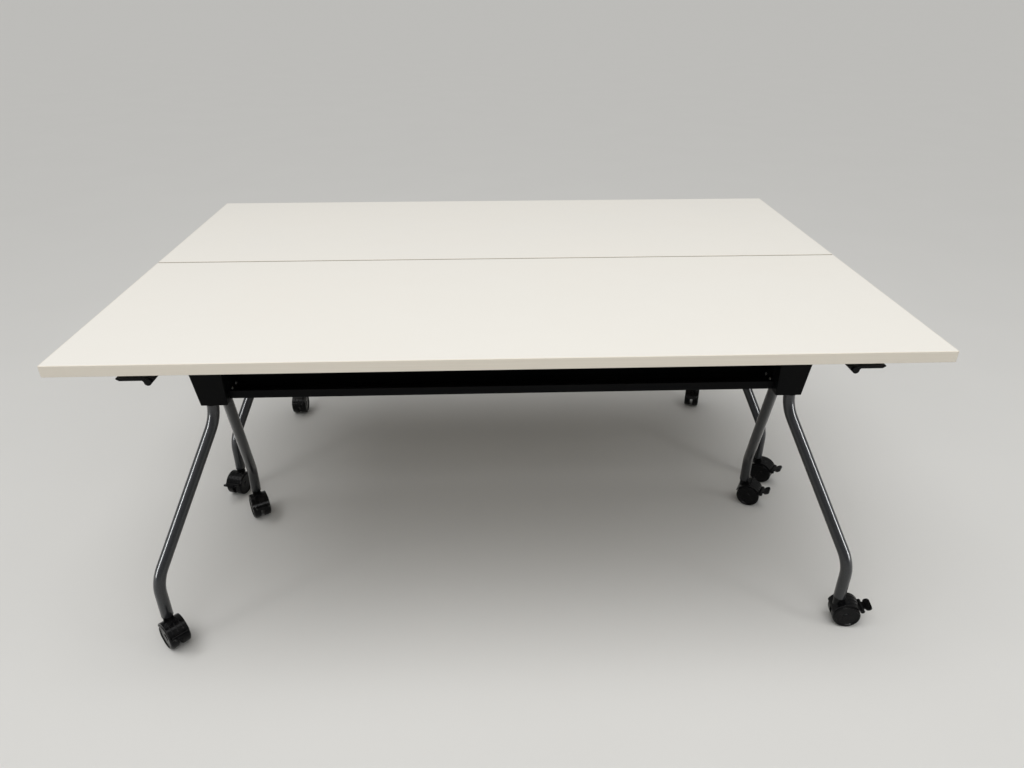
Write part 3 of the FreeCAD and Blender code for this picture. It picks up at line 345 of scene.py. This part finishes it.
hood_nylon = moulded_plastic(
    "polished_black_nylon", dark="#070708", dusty="#201F1D", dust_share=0.3, smoothest=0.12, roughest=0.2,
    grain_width=3 * MILLIMETRE, grain_depth=0.05 * MILLIMETRE,
)
wheel_nylon = moulded_plastic(
    "rolled_black_nylon", dark="#040405", dusty="#1C1B1A", dust_share=0.25, smoothest=0.16, roughest=0.3,
    grain_width=2 * MILLIMETRE, grain_depth=0.1 * MILLIMETRE,
)
matt_plastic = moulded_plastic(
    "matt_black_plastic", dark="#08080A", dusty="#131312", dust_share=0.3, smoothest=0.4, roughest=0.52,
    grain_width=1 * MILLIMETRE, grain_depth=0.08 * MILLIMETRE,
)
pad_rubber = moulded_plastic(
    "black_rubber", dark="#1B1B1A", dusty="#353431", dust_share=0.5, smoothest=0.7, roughest=0.85,
    grain_width=1.5 * MILLIMETRE, grain_depth=0.15 * MILLIMETRE,
)
print("finishes:", hood_nylon.name, wheel_nylon.name, matt_plastic.name, pad_rubber.name)

# %% [markdown]
# ## Zinc plate
# Screws and pivot pins are steel with a bright zinc plate. It is a true metal, so its colour is in the
# reflection, with a slightly cloudy gloss from the plating bath. The clouds are a few millimetres wide.


# %% Zinc
def zinc_plate():
    cloud_width = 2.5 * MILLIMETRE
    material, tree, shader, place = start_finish("zinc_plated_steel", {"Metallic": 1.0})
    cloud = add_node(tree, "ShaderNodeTexNoise", {"Vector": place, "Scale": 1 / cloud_width, "Detail": 3.0})
    colour = add_node(
        tree, "ShaderNodeMix",
        {0: cloud.outputs["Fac"], MIX_A: paint("#B9BCBE"), MIX_B: paint("#D2D3D1")},
        data_type="RGBA",
    )
    gloss = add_node(
        tree, "ShaderNodeMapRange",
        {"Value": cloud.outputs["Fac"], "From Min": 0.3, "From Max": 0.7, "To Min": 0.22, "To Max": 0.38},
    )
    tree.links.new(colour.outputs[MIX_RESULT], shader.inputs["Base Color"])
    tree.links.new(gloss.outputs["Result"], shader.inputs["Roughness"])
    return material


zinc = zinc_plate()
print("finish:", zinc.name)

# %% [markdown]
# ## Give the CAD pieces their finishes
# A CAD piece keeps its mesh and only changes its material. The names say what each piece is, so a
# short table from the end of a name to a finish covers both tables and all casters.

# %% Assign the finishes
finish_of = {
    "tabletop": laminate,
    "edge_band": band,
    "leg_head": head_coat,
    "front_leg": graphite,
    "rear_leg": graphite,
    "cable_trough": trough_coat,
    "flip_rails": trough_coat,
    "pivot_pins": zinc,
    "top_screws": zinc,
    "trough_screws": zinc,
    "rest_pads": pad_rubber,
    "rod_clips": matt_plastic,
    "release_lever": matt_plastic,
    "caster_sockets": matt_plastic,
    "caster_fork": hood_nylon,
    "caster_pedal": hood_nylon,
    "caster_wheels": wheel_nylon,
}
for name, node in frame["nodes"].items():
    finish = next(material for ending, material in finish_of.items() if name.endswith(ending))
    node.data.materials.clear()
    node.data.materials.append(finish)
print("finished CAD pieces:", len(frame["nodes"]))

# %% [markdown]
# ## Hand tools for new pieces
# New pieces are modelled with Blender's own operators. An operator works on whatever is selected, so
# each start clears the selection. What repeats is modelled once as a form, copied to its places, each copy
# with a mesh of its own, and joined. A finished piece has its place in its mesh, with its object at the
# origin, and rides on the CAD body that carries it.

# %% Modelling helpers
SMOOTH_BELOW = math.radians(35)


def clear_selection():
    bpy.ops.object.select_all(action="DESELECT")


def pick(thing):
    clear_selection()
    thing.select_set(True)
    bpy.context.view_layer.objects.active = thing


def apply_modifier(thing, kind, **settings):
    pick(thing)
    modifier = thing.modifiers.new(kind.title(), kind)
    for name, value in settings.items():
        setattr(modifier, name, value)
    bpy.ops.object.modifier_apply(modifier=modifier.name)


def settle(thing):
    """Puts the place, turn and scale of a piece into its mesh."""
    pick(thing)
    bpy.ops.object.transform_apply(location=True, rotation=True, scale=True)


# %% [markdown]
# The next helpers are for whole pieces: join several into one, copy a form to a place or to a row of
# places, and hand a piece over to the body that it rides on.


# %% Helpers for whole pieces
def join(pieces, name):
    pick(pieces[0])
    for piece in pieces[1:]:
        piece.select_set(True)
    bpy.ops.object.join()
    bpy.context.object.name = name
    return bpy.context.object


def copy_to(form, name, place):
    """A copy with a mesh of its own, moved by a matrix."""
    copied = bpy.data.objects.new(name, form.data.copy())
    bpy.context.scene.collection.objects.link(copied)
    copied.data.transform(place)
    return copied


def copies_of(form, name, places):
    """One piece made of copies of a form, one at each place."""
    return join([copy_to(form, f"{name}_{i}", place) for i, place in enumerate(places)], name)


def hand_over(piece, body, finish):
    """The last step of each piece: smooth its round faces, paint it, and let it ride on its body."""
    settle(piece)
    bpy.ops.object.shade_smooth_by_angle(angle=SMOOTH_BELOW)
    piece.data.materials.clear()
    piece.data.materials.append(finish)
    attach(piece, body)


def remove(thing):
    bpy.data.objects.remove(thing)


# %% [markdown]
# ## Cross-recess screws
# Pan-head screws hold the rails and clips to the board and the trough to the heads. Their cross recess
# is what tells a screw from a rivet, and the CAD screws are plain, so these stand in for them. A
# cylinder is bevelled into a pan head, and two crossed blades are cut out of it. A bump map could draw the
# recess too, but it would look flat from the side.


# %% Model the screws
def pan_head_screw(head_radius, head_height, shank_radius, shank_length):
    """A screw along +Z whose head lies below the origin."""
    blade_size = (1.1 * head_radius, 0.24 * head_radius, 1.1 * head_height)
    head_rounding, tip_rounding = 0.42 * head_height, 0.4 * shank_radius
    clear_selection()
    bpy.ops.mesh.primitive_cylinder_add(
        vertices=40, radius=head_radius, depth=head_height, location=(0, 0, -head_height / 2)
    )
    head = bpy.context.object
    settle(head)
    apply_modifier(head, "BEVEL", width=head_rounding, segments=4, limit_method="ANGLE")
    for turn in (0, math.pi / 2):
        clear_selection()
        bpy.ops.mesh.primitive_cube_add(size=1, location=(0, 0, -head_height), rotation=(0, 0, turn))
        blade = bpy.context.object
        blade.scale = blade_size
        settle(blade)
        apply_modifier(head, "BOOLEAN", operation="DIFFERENCE", object=blade, solver="EXACT")
        remove(blade)
    clear_selection()
    bpy.ops.mesh.primitive_cylinder_add(
        vertices=20, radius=shank_radius, depth=shank_length, location=(0, 0, shank_length / 2)
    )
    shank = bpy.context.object
    settle(shank)
    apply_modifier(shank, "BEVEL", width=tip_rounding, segments=2, limit_method="ANGLE")
    return join([head, shank], "screw_form")


BOLT_HEAD_RADIUS = 5 * MILLIMETRE
wood_screw = pan_head_screw(
    head_radius=4.5 * MILLIMETRE, head_height=2.6 * MILLIMETRE,
    shank_radius=1.95 * MILLIMETRE, shank_length=13.8 * MILLIMETRE,
)
trough_bolt = pan_head_screw(
    head_radius=BOLT_HEAD_RADIUS, head_height=3.5 * MILLIMETRE,
    shank_radius=2.45 * MILLIMETRE, shank_length=13.9 * MILLIMETRE,
)
print("screw faces:", len(wood_screw.data.polygons), len(trough_bolt.data.polygons))

# %% [markdown]
# The screws sit where the rails, clips and trough have their holes, so their places are measured from the
# outer sides of those pieces. Each head is turned by a different amount, as a fitter leaves them.

# %% Places of the screws
TURN_PER_SCREW = 1.3
RAIL_SCREW_INSETS = (112 * MILLIMETRE, 8 * MILLIMETRE)
RAIL_SCREW_FROM_FRONT, RAIL_SCREW_FROM_BACK = 20 * MILLIMETRE, 68 * MILLIMETRE
RAIL_FLANGE = 3 * MILLIMETRE
CLIP_SCREW_INSETS = (39 * MILLIMETRE, 7 * MILLIMETRE)
CLIP_SCREW_FROM_END = 6 * MILLIMETRE
CLIP_FOOT = 4 * MILLIMETRE
BOLT_REACH = 14 * MILLIMETRE
screw_numbers = itertools.count(1)


def turned(x, y, z, lay_over=Matrix.Identity(4)):
    """The place of the next screw, turned about its own axis."""
    turn = Matrix.Rotation(next(screw_numbers) * TURN_PER_SCREW, 4, "Z")
    return Matrix.Translation((x, y, z)) @ lay_over @ turn


def wood_screw_places(table):
    rail_low, rail_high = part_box(f"{table}_flip_rails")
    clip_low, clip_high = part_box(f"{table}_rod_clips")
    places = []
    for side in (-1, 1):
        for inset in RAIL_SCREW_INSETS:
            for y in (rail_low.y + RAIL_SCREW_FROM_FRONT, rail_high.y - RAIL_SCREW_FROM_BACK):
                places.append(turned(side * (rail_high.x - inset), y, rail_high.z - RAIL_FLANGE))
        for inset in CLIP_SCREW_INSETS:
            for y in (clip_low.y + CLIP_SCREW_FROM_END, clip_high.y - CLIP_SCREW_FROM_END):
                places.append(turned(side * (clip_high.x - inset), y, clip_high.z - CLIP_FOOT))
    return places


def trough_bolt_places(table):
    low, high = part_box(f"{table}_trough_screws")
    z = (low.z + high.z) / 2
    places = []
    for y in (low.y + BOLT_HEAD_RADIUS, high.y - BOLT_HEAD_RADIUS):
        places.append(turned(high.x - BOLT_REACH, y, z, Matrix.Rotation(math.pi / 2, 4, "Y")))
        places.append(turned(low.x + BOLT_REACH, y, z, Matrix.Rotation(-math.pi / 2, 4, "Y")))
    return places


print("each screw is turned on by", round(math.degrees(TURN_PER_SCREW), 1), "degrees")

# %% [markdown]
# Each set of screws is one piece. It replaces the plain CAD screws, and the wood screws tip up with the top
# while the bolts of the trough stay with the base.

# %% Set the screws
for table in table_middle:
    screws = copies_of(wood_screw, f"{table}_wood_screws", wood_screw_places(table))
    hand_over(screws, f"{table}_top", zinc)
    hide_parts(f"{table}_top_screws")
    screws = copies_of(trough_bolt, f"{table}_trough_bolts", trough_bolt_places(table))
    hand_over(screws, f"{table}_base", zinc)
    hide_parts(f"{table}_trough_screws")
remove(wood_screw)
remove(trough_bolt)
print("screws set:", next(screw_numbers) - 1)

# %% [markdown]
# ## Weld beads
# Each leg tube is welded where it enters the bottom of its head. The bead is a rough ring with a
# ripple for each move of the torch, under the same black coat. A torus gives the ring, and every
# third row of its points is swollen to make the ripples, which a smooth ring would lack.

# %% Model a bead
BEAD_RADIUS, BEAD_THICKNESS = 15 * MILLIMETRE, 2.1 * MILLIMETRE
RIPPLE_HEIGHT = 0.5 * MILLIMETRE
BEAD_ROWS, ROWS_PER_RIPPLE = 72, 3


def weld_bead():
    clear_selection()
    bpy.ops.mesh.primitive_torus_add(
        major_radius=BEAD_RADIUS, minor_radius=BEAD_THICKNESS, major_segments=BEAD_ROWS, minor_segments=10
    )
    bead = bpy.context.object
    for vertex in bead.data.vertices:
        row = round(math.atan2(vertex.co.y, vertex.co.x) / (2 * math.pi / BEAD_ROWS))
        vertex.select = row % ROWS_PER_RIPPLE == 0
    bpy.ops.object.mode_set(mode="EDIT")
    bpy.ops.transform.shrink_fatten(value=RIPPLE_HEIGHT)
    bpy.ops.object.mode_set(mode="OBJECT")
    apply_modifier(bead, "SUBSURF", levels=1, render_levels=1)
    return bead


bead_form = weld_bead()
print("bead faces:", len(bead_form.data.polygons))

# %% [markdown]
# The front tube stands upright in its head, so its ring is round and sits on the tube's axis. The rear tube
# leans towards its caster, so its ring is an oval that is longer by the lean, along that heading.

# %% Set the beads
TUBE_RADIUS = 14 * MILLIMETRE
REAR_TUBE_FROM_INSIDE, REAR_TUBE_FROM_BACK = 44.8 * MILLIMETRE, 50.1 * MILLIMETRE
REAR_LEAN = math.radians(26.4)
BEAD_DROP = 0.3 * MILLIMETRE
for table in table_middle:
    head_low, head_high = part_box(f"{table}_right_leg_head")
    leg_low, leg_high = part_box(f"{table}_right_front_leg")
    stem = joint_place[f"{table}_right_rear_swivel"]
    bead_z = head_low.z - BEAD_DROP
    front_x, front_y = leg_low.x + TUBE_RADIUS, leg_high.y - TUBE_RADIUS
    rear_x, rear_y = head_low.x + REAR_TUBE_FROM_INSIDE, head_high.y - REAR_TUBE_FROM_BACK
    oval = Matrix.Diagonal((1 / math.cos(REAR_LEAN), 1, 1, 1))
    places = []
    for side in (-1, 1):
        places.append(Matrix.Translation((side * front_x, front_y, bead_z)))
        heading = math.atan2(stem.y - rear_y, side * (stem.x - rear_x))
        along_lean = Matrix.Rotation(heading, 4, "Z")
        places.append(Matrix.Translation((side * rear_x, rear_y, bead_z)) @ along_lean @ oval)
    welds = copies_of(bead_form, f"{table}_weld_beads", places)
    hand_over(welds, f"{table}_base", head_coat)
remove(bead_form)
print("beads on each table:", len(places))

# %% [markdown]
# ## Caster ribs and rims
# The hood of a twin-wheel caster is stiffened by raised ribs that follow its arch, and each wheel's
# outer face has a thin raised rim. A small rectangle is spun about the axle to make a rib, and a torus
# makes the rim. Both are modelled once, for a caster with its stem at the origin and its wheels
# trailing along +X, and then copied to each caster's own place and heading.

# %% Model the ribs
first_stem = joint_place[f"{casters[0]}_swivel"]
first_axle = joint_place[f"{casters[0]}_roll"]
TRAIL, AXLE_HEIGHT = (first_axle - first_stem).xy.length, first_axle.z
HOOD_RADIUS = 37.5 * MILLIMETRE
RIB_THICKNESS, RIB_WIDTH, RIB_SPACING = 1.8 * MILLIMETRE, 3.4 * MILLIMETRE, 12.5 * MILLIMETRE
RIB_ROUNDING, ROUNDED_ABOVE = 0.6 * MILLIMETRE, math.radians(50)
RIB_SWEEP, RIB_START = math.radians(64), math.radians(96)


def hood_ribs():
    clear_selection()
    bpy.ops.mesh.primitive_plane_add(size=1, location=(TRAIL + HOOD_RADIUS, 0, AXLE_HEIGHT))
    rib = bpy.context.object
    rib.scale = (RIB_THICKNESS, RIB_WIDTH, 1)
    settle(rib)
    bpy.ops.object.mode_set(mode="EDIT")
    bpy.ops.mesh.select_all(action="SELECT")
    bpy.ops.mesh.spin(
        steps=24, angle=RIB_SWEEP, center=(TRAIL, 0, AXLE_HEIGHT), axis=(0, -1, 0), use_normal_flip=False
    )
    bpy.ops.mesh.select_all(action="SELECT")
    bpy.ops.mesh.normals_make_consistent(inside=False)
    bpy.ops.object.mode_set(mode="OBJECT")
    apply_modifier(
        rib, "BEVEL", width=RIB_ROUNDING, segments=3, limit_method="ANGLE", angle_limit=ROUNDED_ABOVE
    )
    # The spin runs down from its start, so the start is turned up over the top of the hood.
    about_axle = Matrix.Translation((TRAIL, 0, AXLE_HEIGHT)) @ Matrix.Rotation(-RIB_START, 4, "Y")
    rib.data.transform(about_axle @ Matrix.Translation((-TRAIL, 0, -AXLE_HEIGHT)))
    sideways = [Matrix.Translation((0, offset, 0)) for offset in (-RIB_SPACING, 0, RIB_SPACING)]
    ribs = copies_of(rib, "hood_rib_form", sideways)
    remove(rib)
    return ribs


rib_form = hood_ribs()
print("rib faces:", len(rib_form.data.polygons))

# %% [markdown]
# A rim is a thin torus, smoothed once, on the outer face of each of the two wheels.

# %% Model the rims
RIM_RADIUS, RIM_THICKNESS = 29 * MILLIMETRE, 0.8 * MILLIMETRE
WHEEL_FACE = 24 * MILLIMETRE


def wheel_rims():
    clear_selection()
    bpy.ops.mesh.primitive_torus_add(
        major_radius=RIM_RADIUS, minor_radius=RIM_THICKNESS, major_segments=72, minor_segments=10
    )
    rim = bpy.context.object
    apply_modifier(rim, "SUBSURF", levels=1, render_levels=1)
    upright = Matrix.Rotation(math.pi / 2, 4, "X")
    places = [Matrix.Translation((TRAIL, side * WHEEL_FACE, AXLE_HEIGHT)) @ upright for side in (-1, 1)]
    rims = copies_of(rim, "rim_form", places)
    remove(rim)
    return rims


rim_form = wheel_rims()
print("rim faces:", len(rim_form.data.polygons))

# %% [markdown]
# ## Pedal treads
# The brake pedal is an oval dish with a rim, and a few raised bars in the dish keep a shoe from slipping
# off. A bar is a small block with well-rounded edges, which is modelled once and copied. The three bars are
# placed about the pedal's hinge, which is where the pedal's own drawing starts.

# %% Model the treads
TREAD_SIZE = (1.5 * MILLIMETRE, 23 * MILLIMETRE, 1.4 * MILLIMETRE)
TREAD_ROUNDING = 0.5 * MILLIMETRE
TREADS_FROM_HINGE = (12.8 * MILLIMETRE, 16 * MILLIMETRE, 19.2 * MILLIMETRE)
TREAD_HEIGHT = 1.2 * MILLIMETRE


def rounded_bar(size, rounding):
    clear_selection()
    bpy.ops.mesh.primitive_cube_add(size=1)
    bar = bpy.context.object
    bar.scale = size
    settle(bar)
    apply_modifier(bar, "BEVEL", width=rounding, segments=3, limit_method="ANGLE")
    return bar


tread = rounded_bar(TREAD_SIZE, TREAD_ROUNDING)
tread_places = [Matrix.Translation((x, 0, TREAD_HEIGHT)) for x in TREADS_FROM_HINGE]
tread_form = copies_of(tread, "tread_form", tread_places)
remove(tread)
print("tread faces:", len(tread_form.data.polygons))

# %% [markdown]
# Each caster's stem and axle come from its joints, and the line between them is its heading. The pedal
# lies along the line from the axle to its hinge, so its treads are tilted by that line too.

# %% Set the caster details
for caster in casters:
    stem = joint_place[f"{caster}_swivel"]
    axle = joint_place[f"{caster}_roll"]
    hinge = joint_place[f"{caster}_brake"]
    heading = math.atan2(axle.y - stem.y, axle.x - stem.x)
    tilt = math.atan2(hinge.z - axle.z, (hinge - axle).xy.length)
    turn = Matrix.Rotation(heading, 4, "Z")
    at_stem = Matrix.Translation((stem.x, stem.y, 0)) @ turn
    at_hinge = Matrix.Translation(hinge) @ turn @ Matrix.Rotation(-tilt, 4, "Y")
    ribs = copy_to(rib_form, f"{caster}_hood_ribs", at_stem)
    hand_over(ribs, f"{caster}_fork", hood_nylon)
    rims = copy_to(rim_form, f"{caster}_wheel_rims", at_stem)
    hand_over(rims, f"{caster}_wheels", wheel_nylon)
    treads = copy_to(tread_form, f"{caster}_pedal_treads", at_hinge)
    hand_over(treads, f"{caster}_pedal", hood_nylon)
for form in (rib_form, rim_form, tread_form):
    remove(form)
print("casters dressed:", len(casters))

# %% [markdown]
# ## Paddle grips
# The release paddles are squeezed up against the board, so their undersides have a row of moulded grip
# bars for the fingers. The bars run from front to back, half sunk into the paddle, and are made like the
# treads.

# %% Model and set the grips
GRIP_SIZE = (2.6 * MILLIMETRE, 32 * MILLIMETRE, 2 * MILLIMETRE)
GRIP_ROUNDING = 0.9 * MILLIMETRE
GRIP_COUNT, GRIP_SPACING = 6, 7.2 * MILLIMETRE
GRIPS_FROM_TIP, GRIPS_FROM_FRONT = 48 * MILLIMETRE, 24 * MILLIMETRE
GRIPS_BELOW_TOP = 6.6 * MILLIMETRE
grip = rounded_bar(GRIP_SIZE, GRIP_ROUNDING)
for table in table_middle:
    lever_low, lever_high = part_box(f"{table}_right_release_lever")
    grip_y, grip_z = lever_low.y + GRIPS_FROM_FRONT, lever_high.z - GRIPS_BELOW_TOP
    columns = [lever_high.x - GRIPS_FROM_TIP + GRIP_SPACING * step for step in range(GRIP_COUNT)]
    for side, sign in (("left", -1), ("right", 1)):
        places = [Matrix.Translation((sign * x, grip_y, grip_z)) for x in columns]
        grips = copies_of(grip, f"{table}_{side}_paddle_grips", places)
        hand_over(grips, f"{table}_{side}_lever", matt_plastic)
remove(grip)
print("grip bars on each paddle:", len(columns))

# %% [markdown]
# ## Floor, light and camera
# A plain pale floor keeps the eye on the table, and a pale sky and one broad soft lamp light it from
# all round, as a ceiling full of panels does. The floor is so wide that its edge lies above the top of the
# picture, and its colour wanders a little, so that it doesn't look like blank paper.

# %% Floor and sky
FLOOR_RADIUS = 300
FLOOR_CLOUD = 500 * MILLIMETRE
SKY_STRENGTH = 0.4


def pale_floor():
    material, tree, shader, place = start_finish("pale_floor", {"Roughness": 0.75})
    cloud = add_node(tree, "ShaderNodeTexNoise", {"Vector": place, "Scale": 1 / FLOOR_CLOUD, "Detail": 3.0})
    colour = add_node(
        tree, "ShaderNodeMix",
        {0: cloud.outputs["Fac"], MIX_A: paint("#D3D2CF"), MIX_B: paint("#D0CFCC")},
        data_type="RGBA",
    )
    tree.links.new(colour.outputs[MIX_RESULT], shader.inputs["Base Color"])
    return material


clear_selection()
bpy.ops.mesh.primitive_circle_add(vertices=96, radius=FLOOR_RADIUS, fill_type="NGON", location=(0, 0, 0))
floor = bpy.context.object
floor.name = "studio_floor"
floor.data.materials.append(pale_floor())

scene = bpy.context.scene
sky = bpy.data.worlds.new("studio_sky")
scene.world = sky
sky.use_nodes = True
background = sky.node_tree.nodes["Background"]
background.inputs["Color"].default_value = paint("#E3E3E1")
background.inputs["Strength"].default_value = SKY_STRENGTH
scene.view_settings.view_transform = "Standard"
print("stage:", floor.name, sky.name)

# %% [markdown]
# Three ceiling panels add shape: one over each end, and one in front that lights the near edge. A panel is
# an area lamp, which is turned so that it faces the spot that it aims at.


# %% Ceiling panels
def panel_light(name, place, aim, width, depth, watts):
    lamp = bpy.data.lights.new(name, "AREA")
    lamp.shape = "RECTANGLE"
    lamp.size = width
    lamp.size_y = depth
    lamp.energy = watts
    holder = bpy.data.objects.new(name, lamp)
    scene.collection.objects.link(holder)
    holder.location = place
    holder.rotation_euler = (Vector(aim) - Vector(place)).to_track_quat("-Z", "Y").to_euler()
    return holder


for side, sign in (("left", -1), ("right", 1)):
    panel_light(
        f"ceiling_strip_{side}", place=(sign * 1.5, -0.6, 2.8), aim=(sign * 0.9, -0.3, 0.3),
        width=0.3, depth=2.4, watts=10,
    )
panel_light(
    "ceiling_strip_front", place=(0.0, -2.7, 2.7), aim=(0.0, -0.4, 0.3), width=3.2, depth=0.5, watts=20
)
print("ceiling panels set over both ends and in front")

# %% [markdown]
# Round black pieces live from their highlights, which lamps for a white top would be too weak to draw. So
# two tall strips stand beside the front legs and a narrow one hangs in front of the casters. Brighter
# ceiling panels would burn out the tops. Light linking, which names the pieces that a lamp may light, keeps
# these strips off the tops and the floor.


# %% Linked lights
def light_only(strip, collection_name, pieces):
    """Lets a lamp light these pieces alone, and hides it from the camera."""
    receivers = bpy.data.collections.new(collection_name)
    for piece in pieces:
        receivers.objects.link(piece)
    strip.light_linking.receiver_collection = receivers
    strip.visible_camera = False


for side, sign in (("left", -1), ("right", 1)):
    strip = panel_light(
        f"tube_strip_{side}", place=(sign * 2.75, -1.80, 1.40), aim=(sign * 0.76, -0.46, 0.33),
        width=0.5, depth=2.4, watts=90,
    )
    front_legs = [frame["nodes"][f"{table}_{side}_front_leg"] for table in table_middle]
    light_only(strip, f"{side}_tubes", front_legs)

caster_pieces = []
for caster in casters:
    for name in ("caster_fork", "caster_wheels", "caster_pedal"):
        caster_pieces.append(frame["nodes"][f"{caster}_{name}"])
    for name in ("hood_ribs", "wheel_rims", "pedal_treads"):
        caster_pieces.append(bpy.data.objects[f"{caster}_{name}"])
strip = panel_light(
    "caster_strip", place=(0.0, -3.2, 2.2), aim=(0.0, -0.5, 0.05), width=2.6, depth=0.12, watts=40
)
light_only(strip, "caster_parts", caster_pieces)
print("pieces lit by the caster strip:", len(caster_pieces))

# %% [markdown]
# The broad soft lamp is a sun, which lights everything alike however far away it is. Its wide angle blurs
# every shadow, and it leans a little so that the pieces under the tops get some light too.

# %% Broad lamp
GLOW_STRENGTH, GLOW_ANGLE = 1.6, math.radians(60)
GLOW_LEAN = (math.radians(10), math.radians(-6), 0)
ceiling = bpy.data.lights.new("ceiling_glow", "SUN")
ceiling.energy = GLOW_STRENGTH
ceiling.angle = GLOW_ANGLE
ceiling_holder = bpy.data.objects.new("ceiling_glow", ceiling)
scene.collection.objects.link(ceiling_holder)
ceiling_holder.rotation_euler = GLOW_LEAN
print("broad lamp:", ceiling.name)

# %% [markdown]
# The camera looks down by about 28 degrees and a little to the right, through a lens of 26 mm on a
# 36 mm frame. A camera that isn't turned looks straight down, so it is first tilted up about X and then
# turned about Z.

# %% Camera
LENS, FILM_WIDTH = 26.016, 36
SEES_AS_FAR_AS = 1000
LOOK_DOWN, LOOK_RIGHT = math.radians(28.2792), math.radians(2.116)
CAMERA_X, CAMERA_BEFORE_SEAM, CAMERA_HEIGHT = -0.0399, 1.9254, 1.3991
camera = bpy.data.cameras.new("photo_camera")
camera.lens = LENS
camera.sensor_width = FILM_WIDTH
camera.clip_end = SEES_AS_FAR_AS
viewer = bpy.data.objects.new("photo_camera", camera)
scene.collection.objects.link(viewer)
stand = Matrix.Translation((CAMERA_X, seam_y - CAMERA_BEFORE_SEAM, CAMERA_HEIGHT))
turn = Matrix.Rotation(-LOOK_RIGHT, 4, "Z")
tilt = Matrix.Rotation(math.pi / 2 - LOOK_DOWN, 4, "X")
viewer.matrix_world = stand @ turn @ tilt
scene.camera = viewer
print("camera at:", viewer.location)
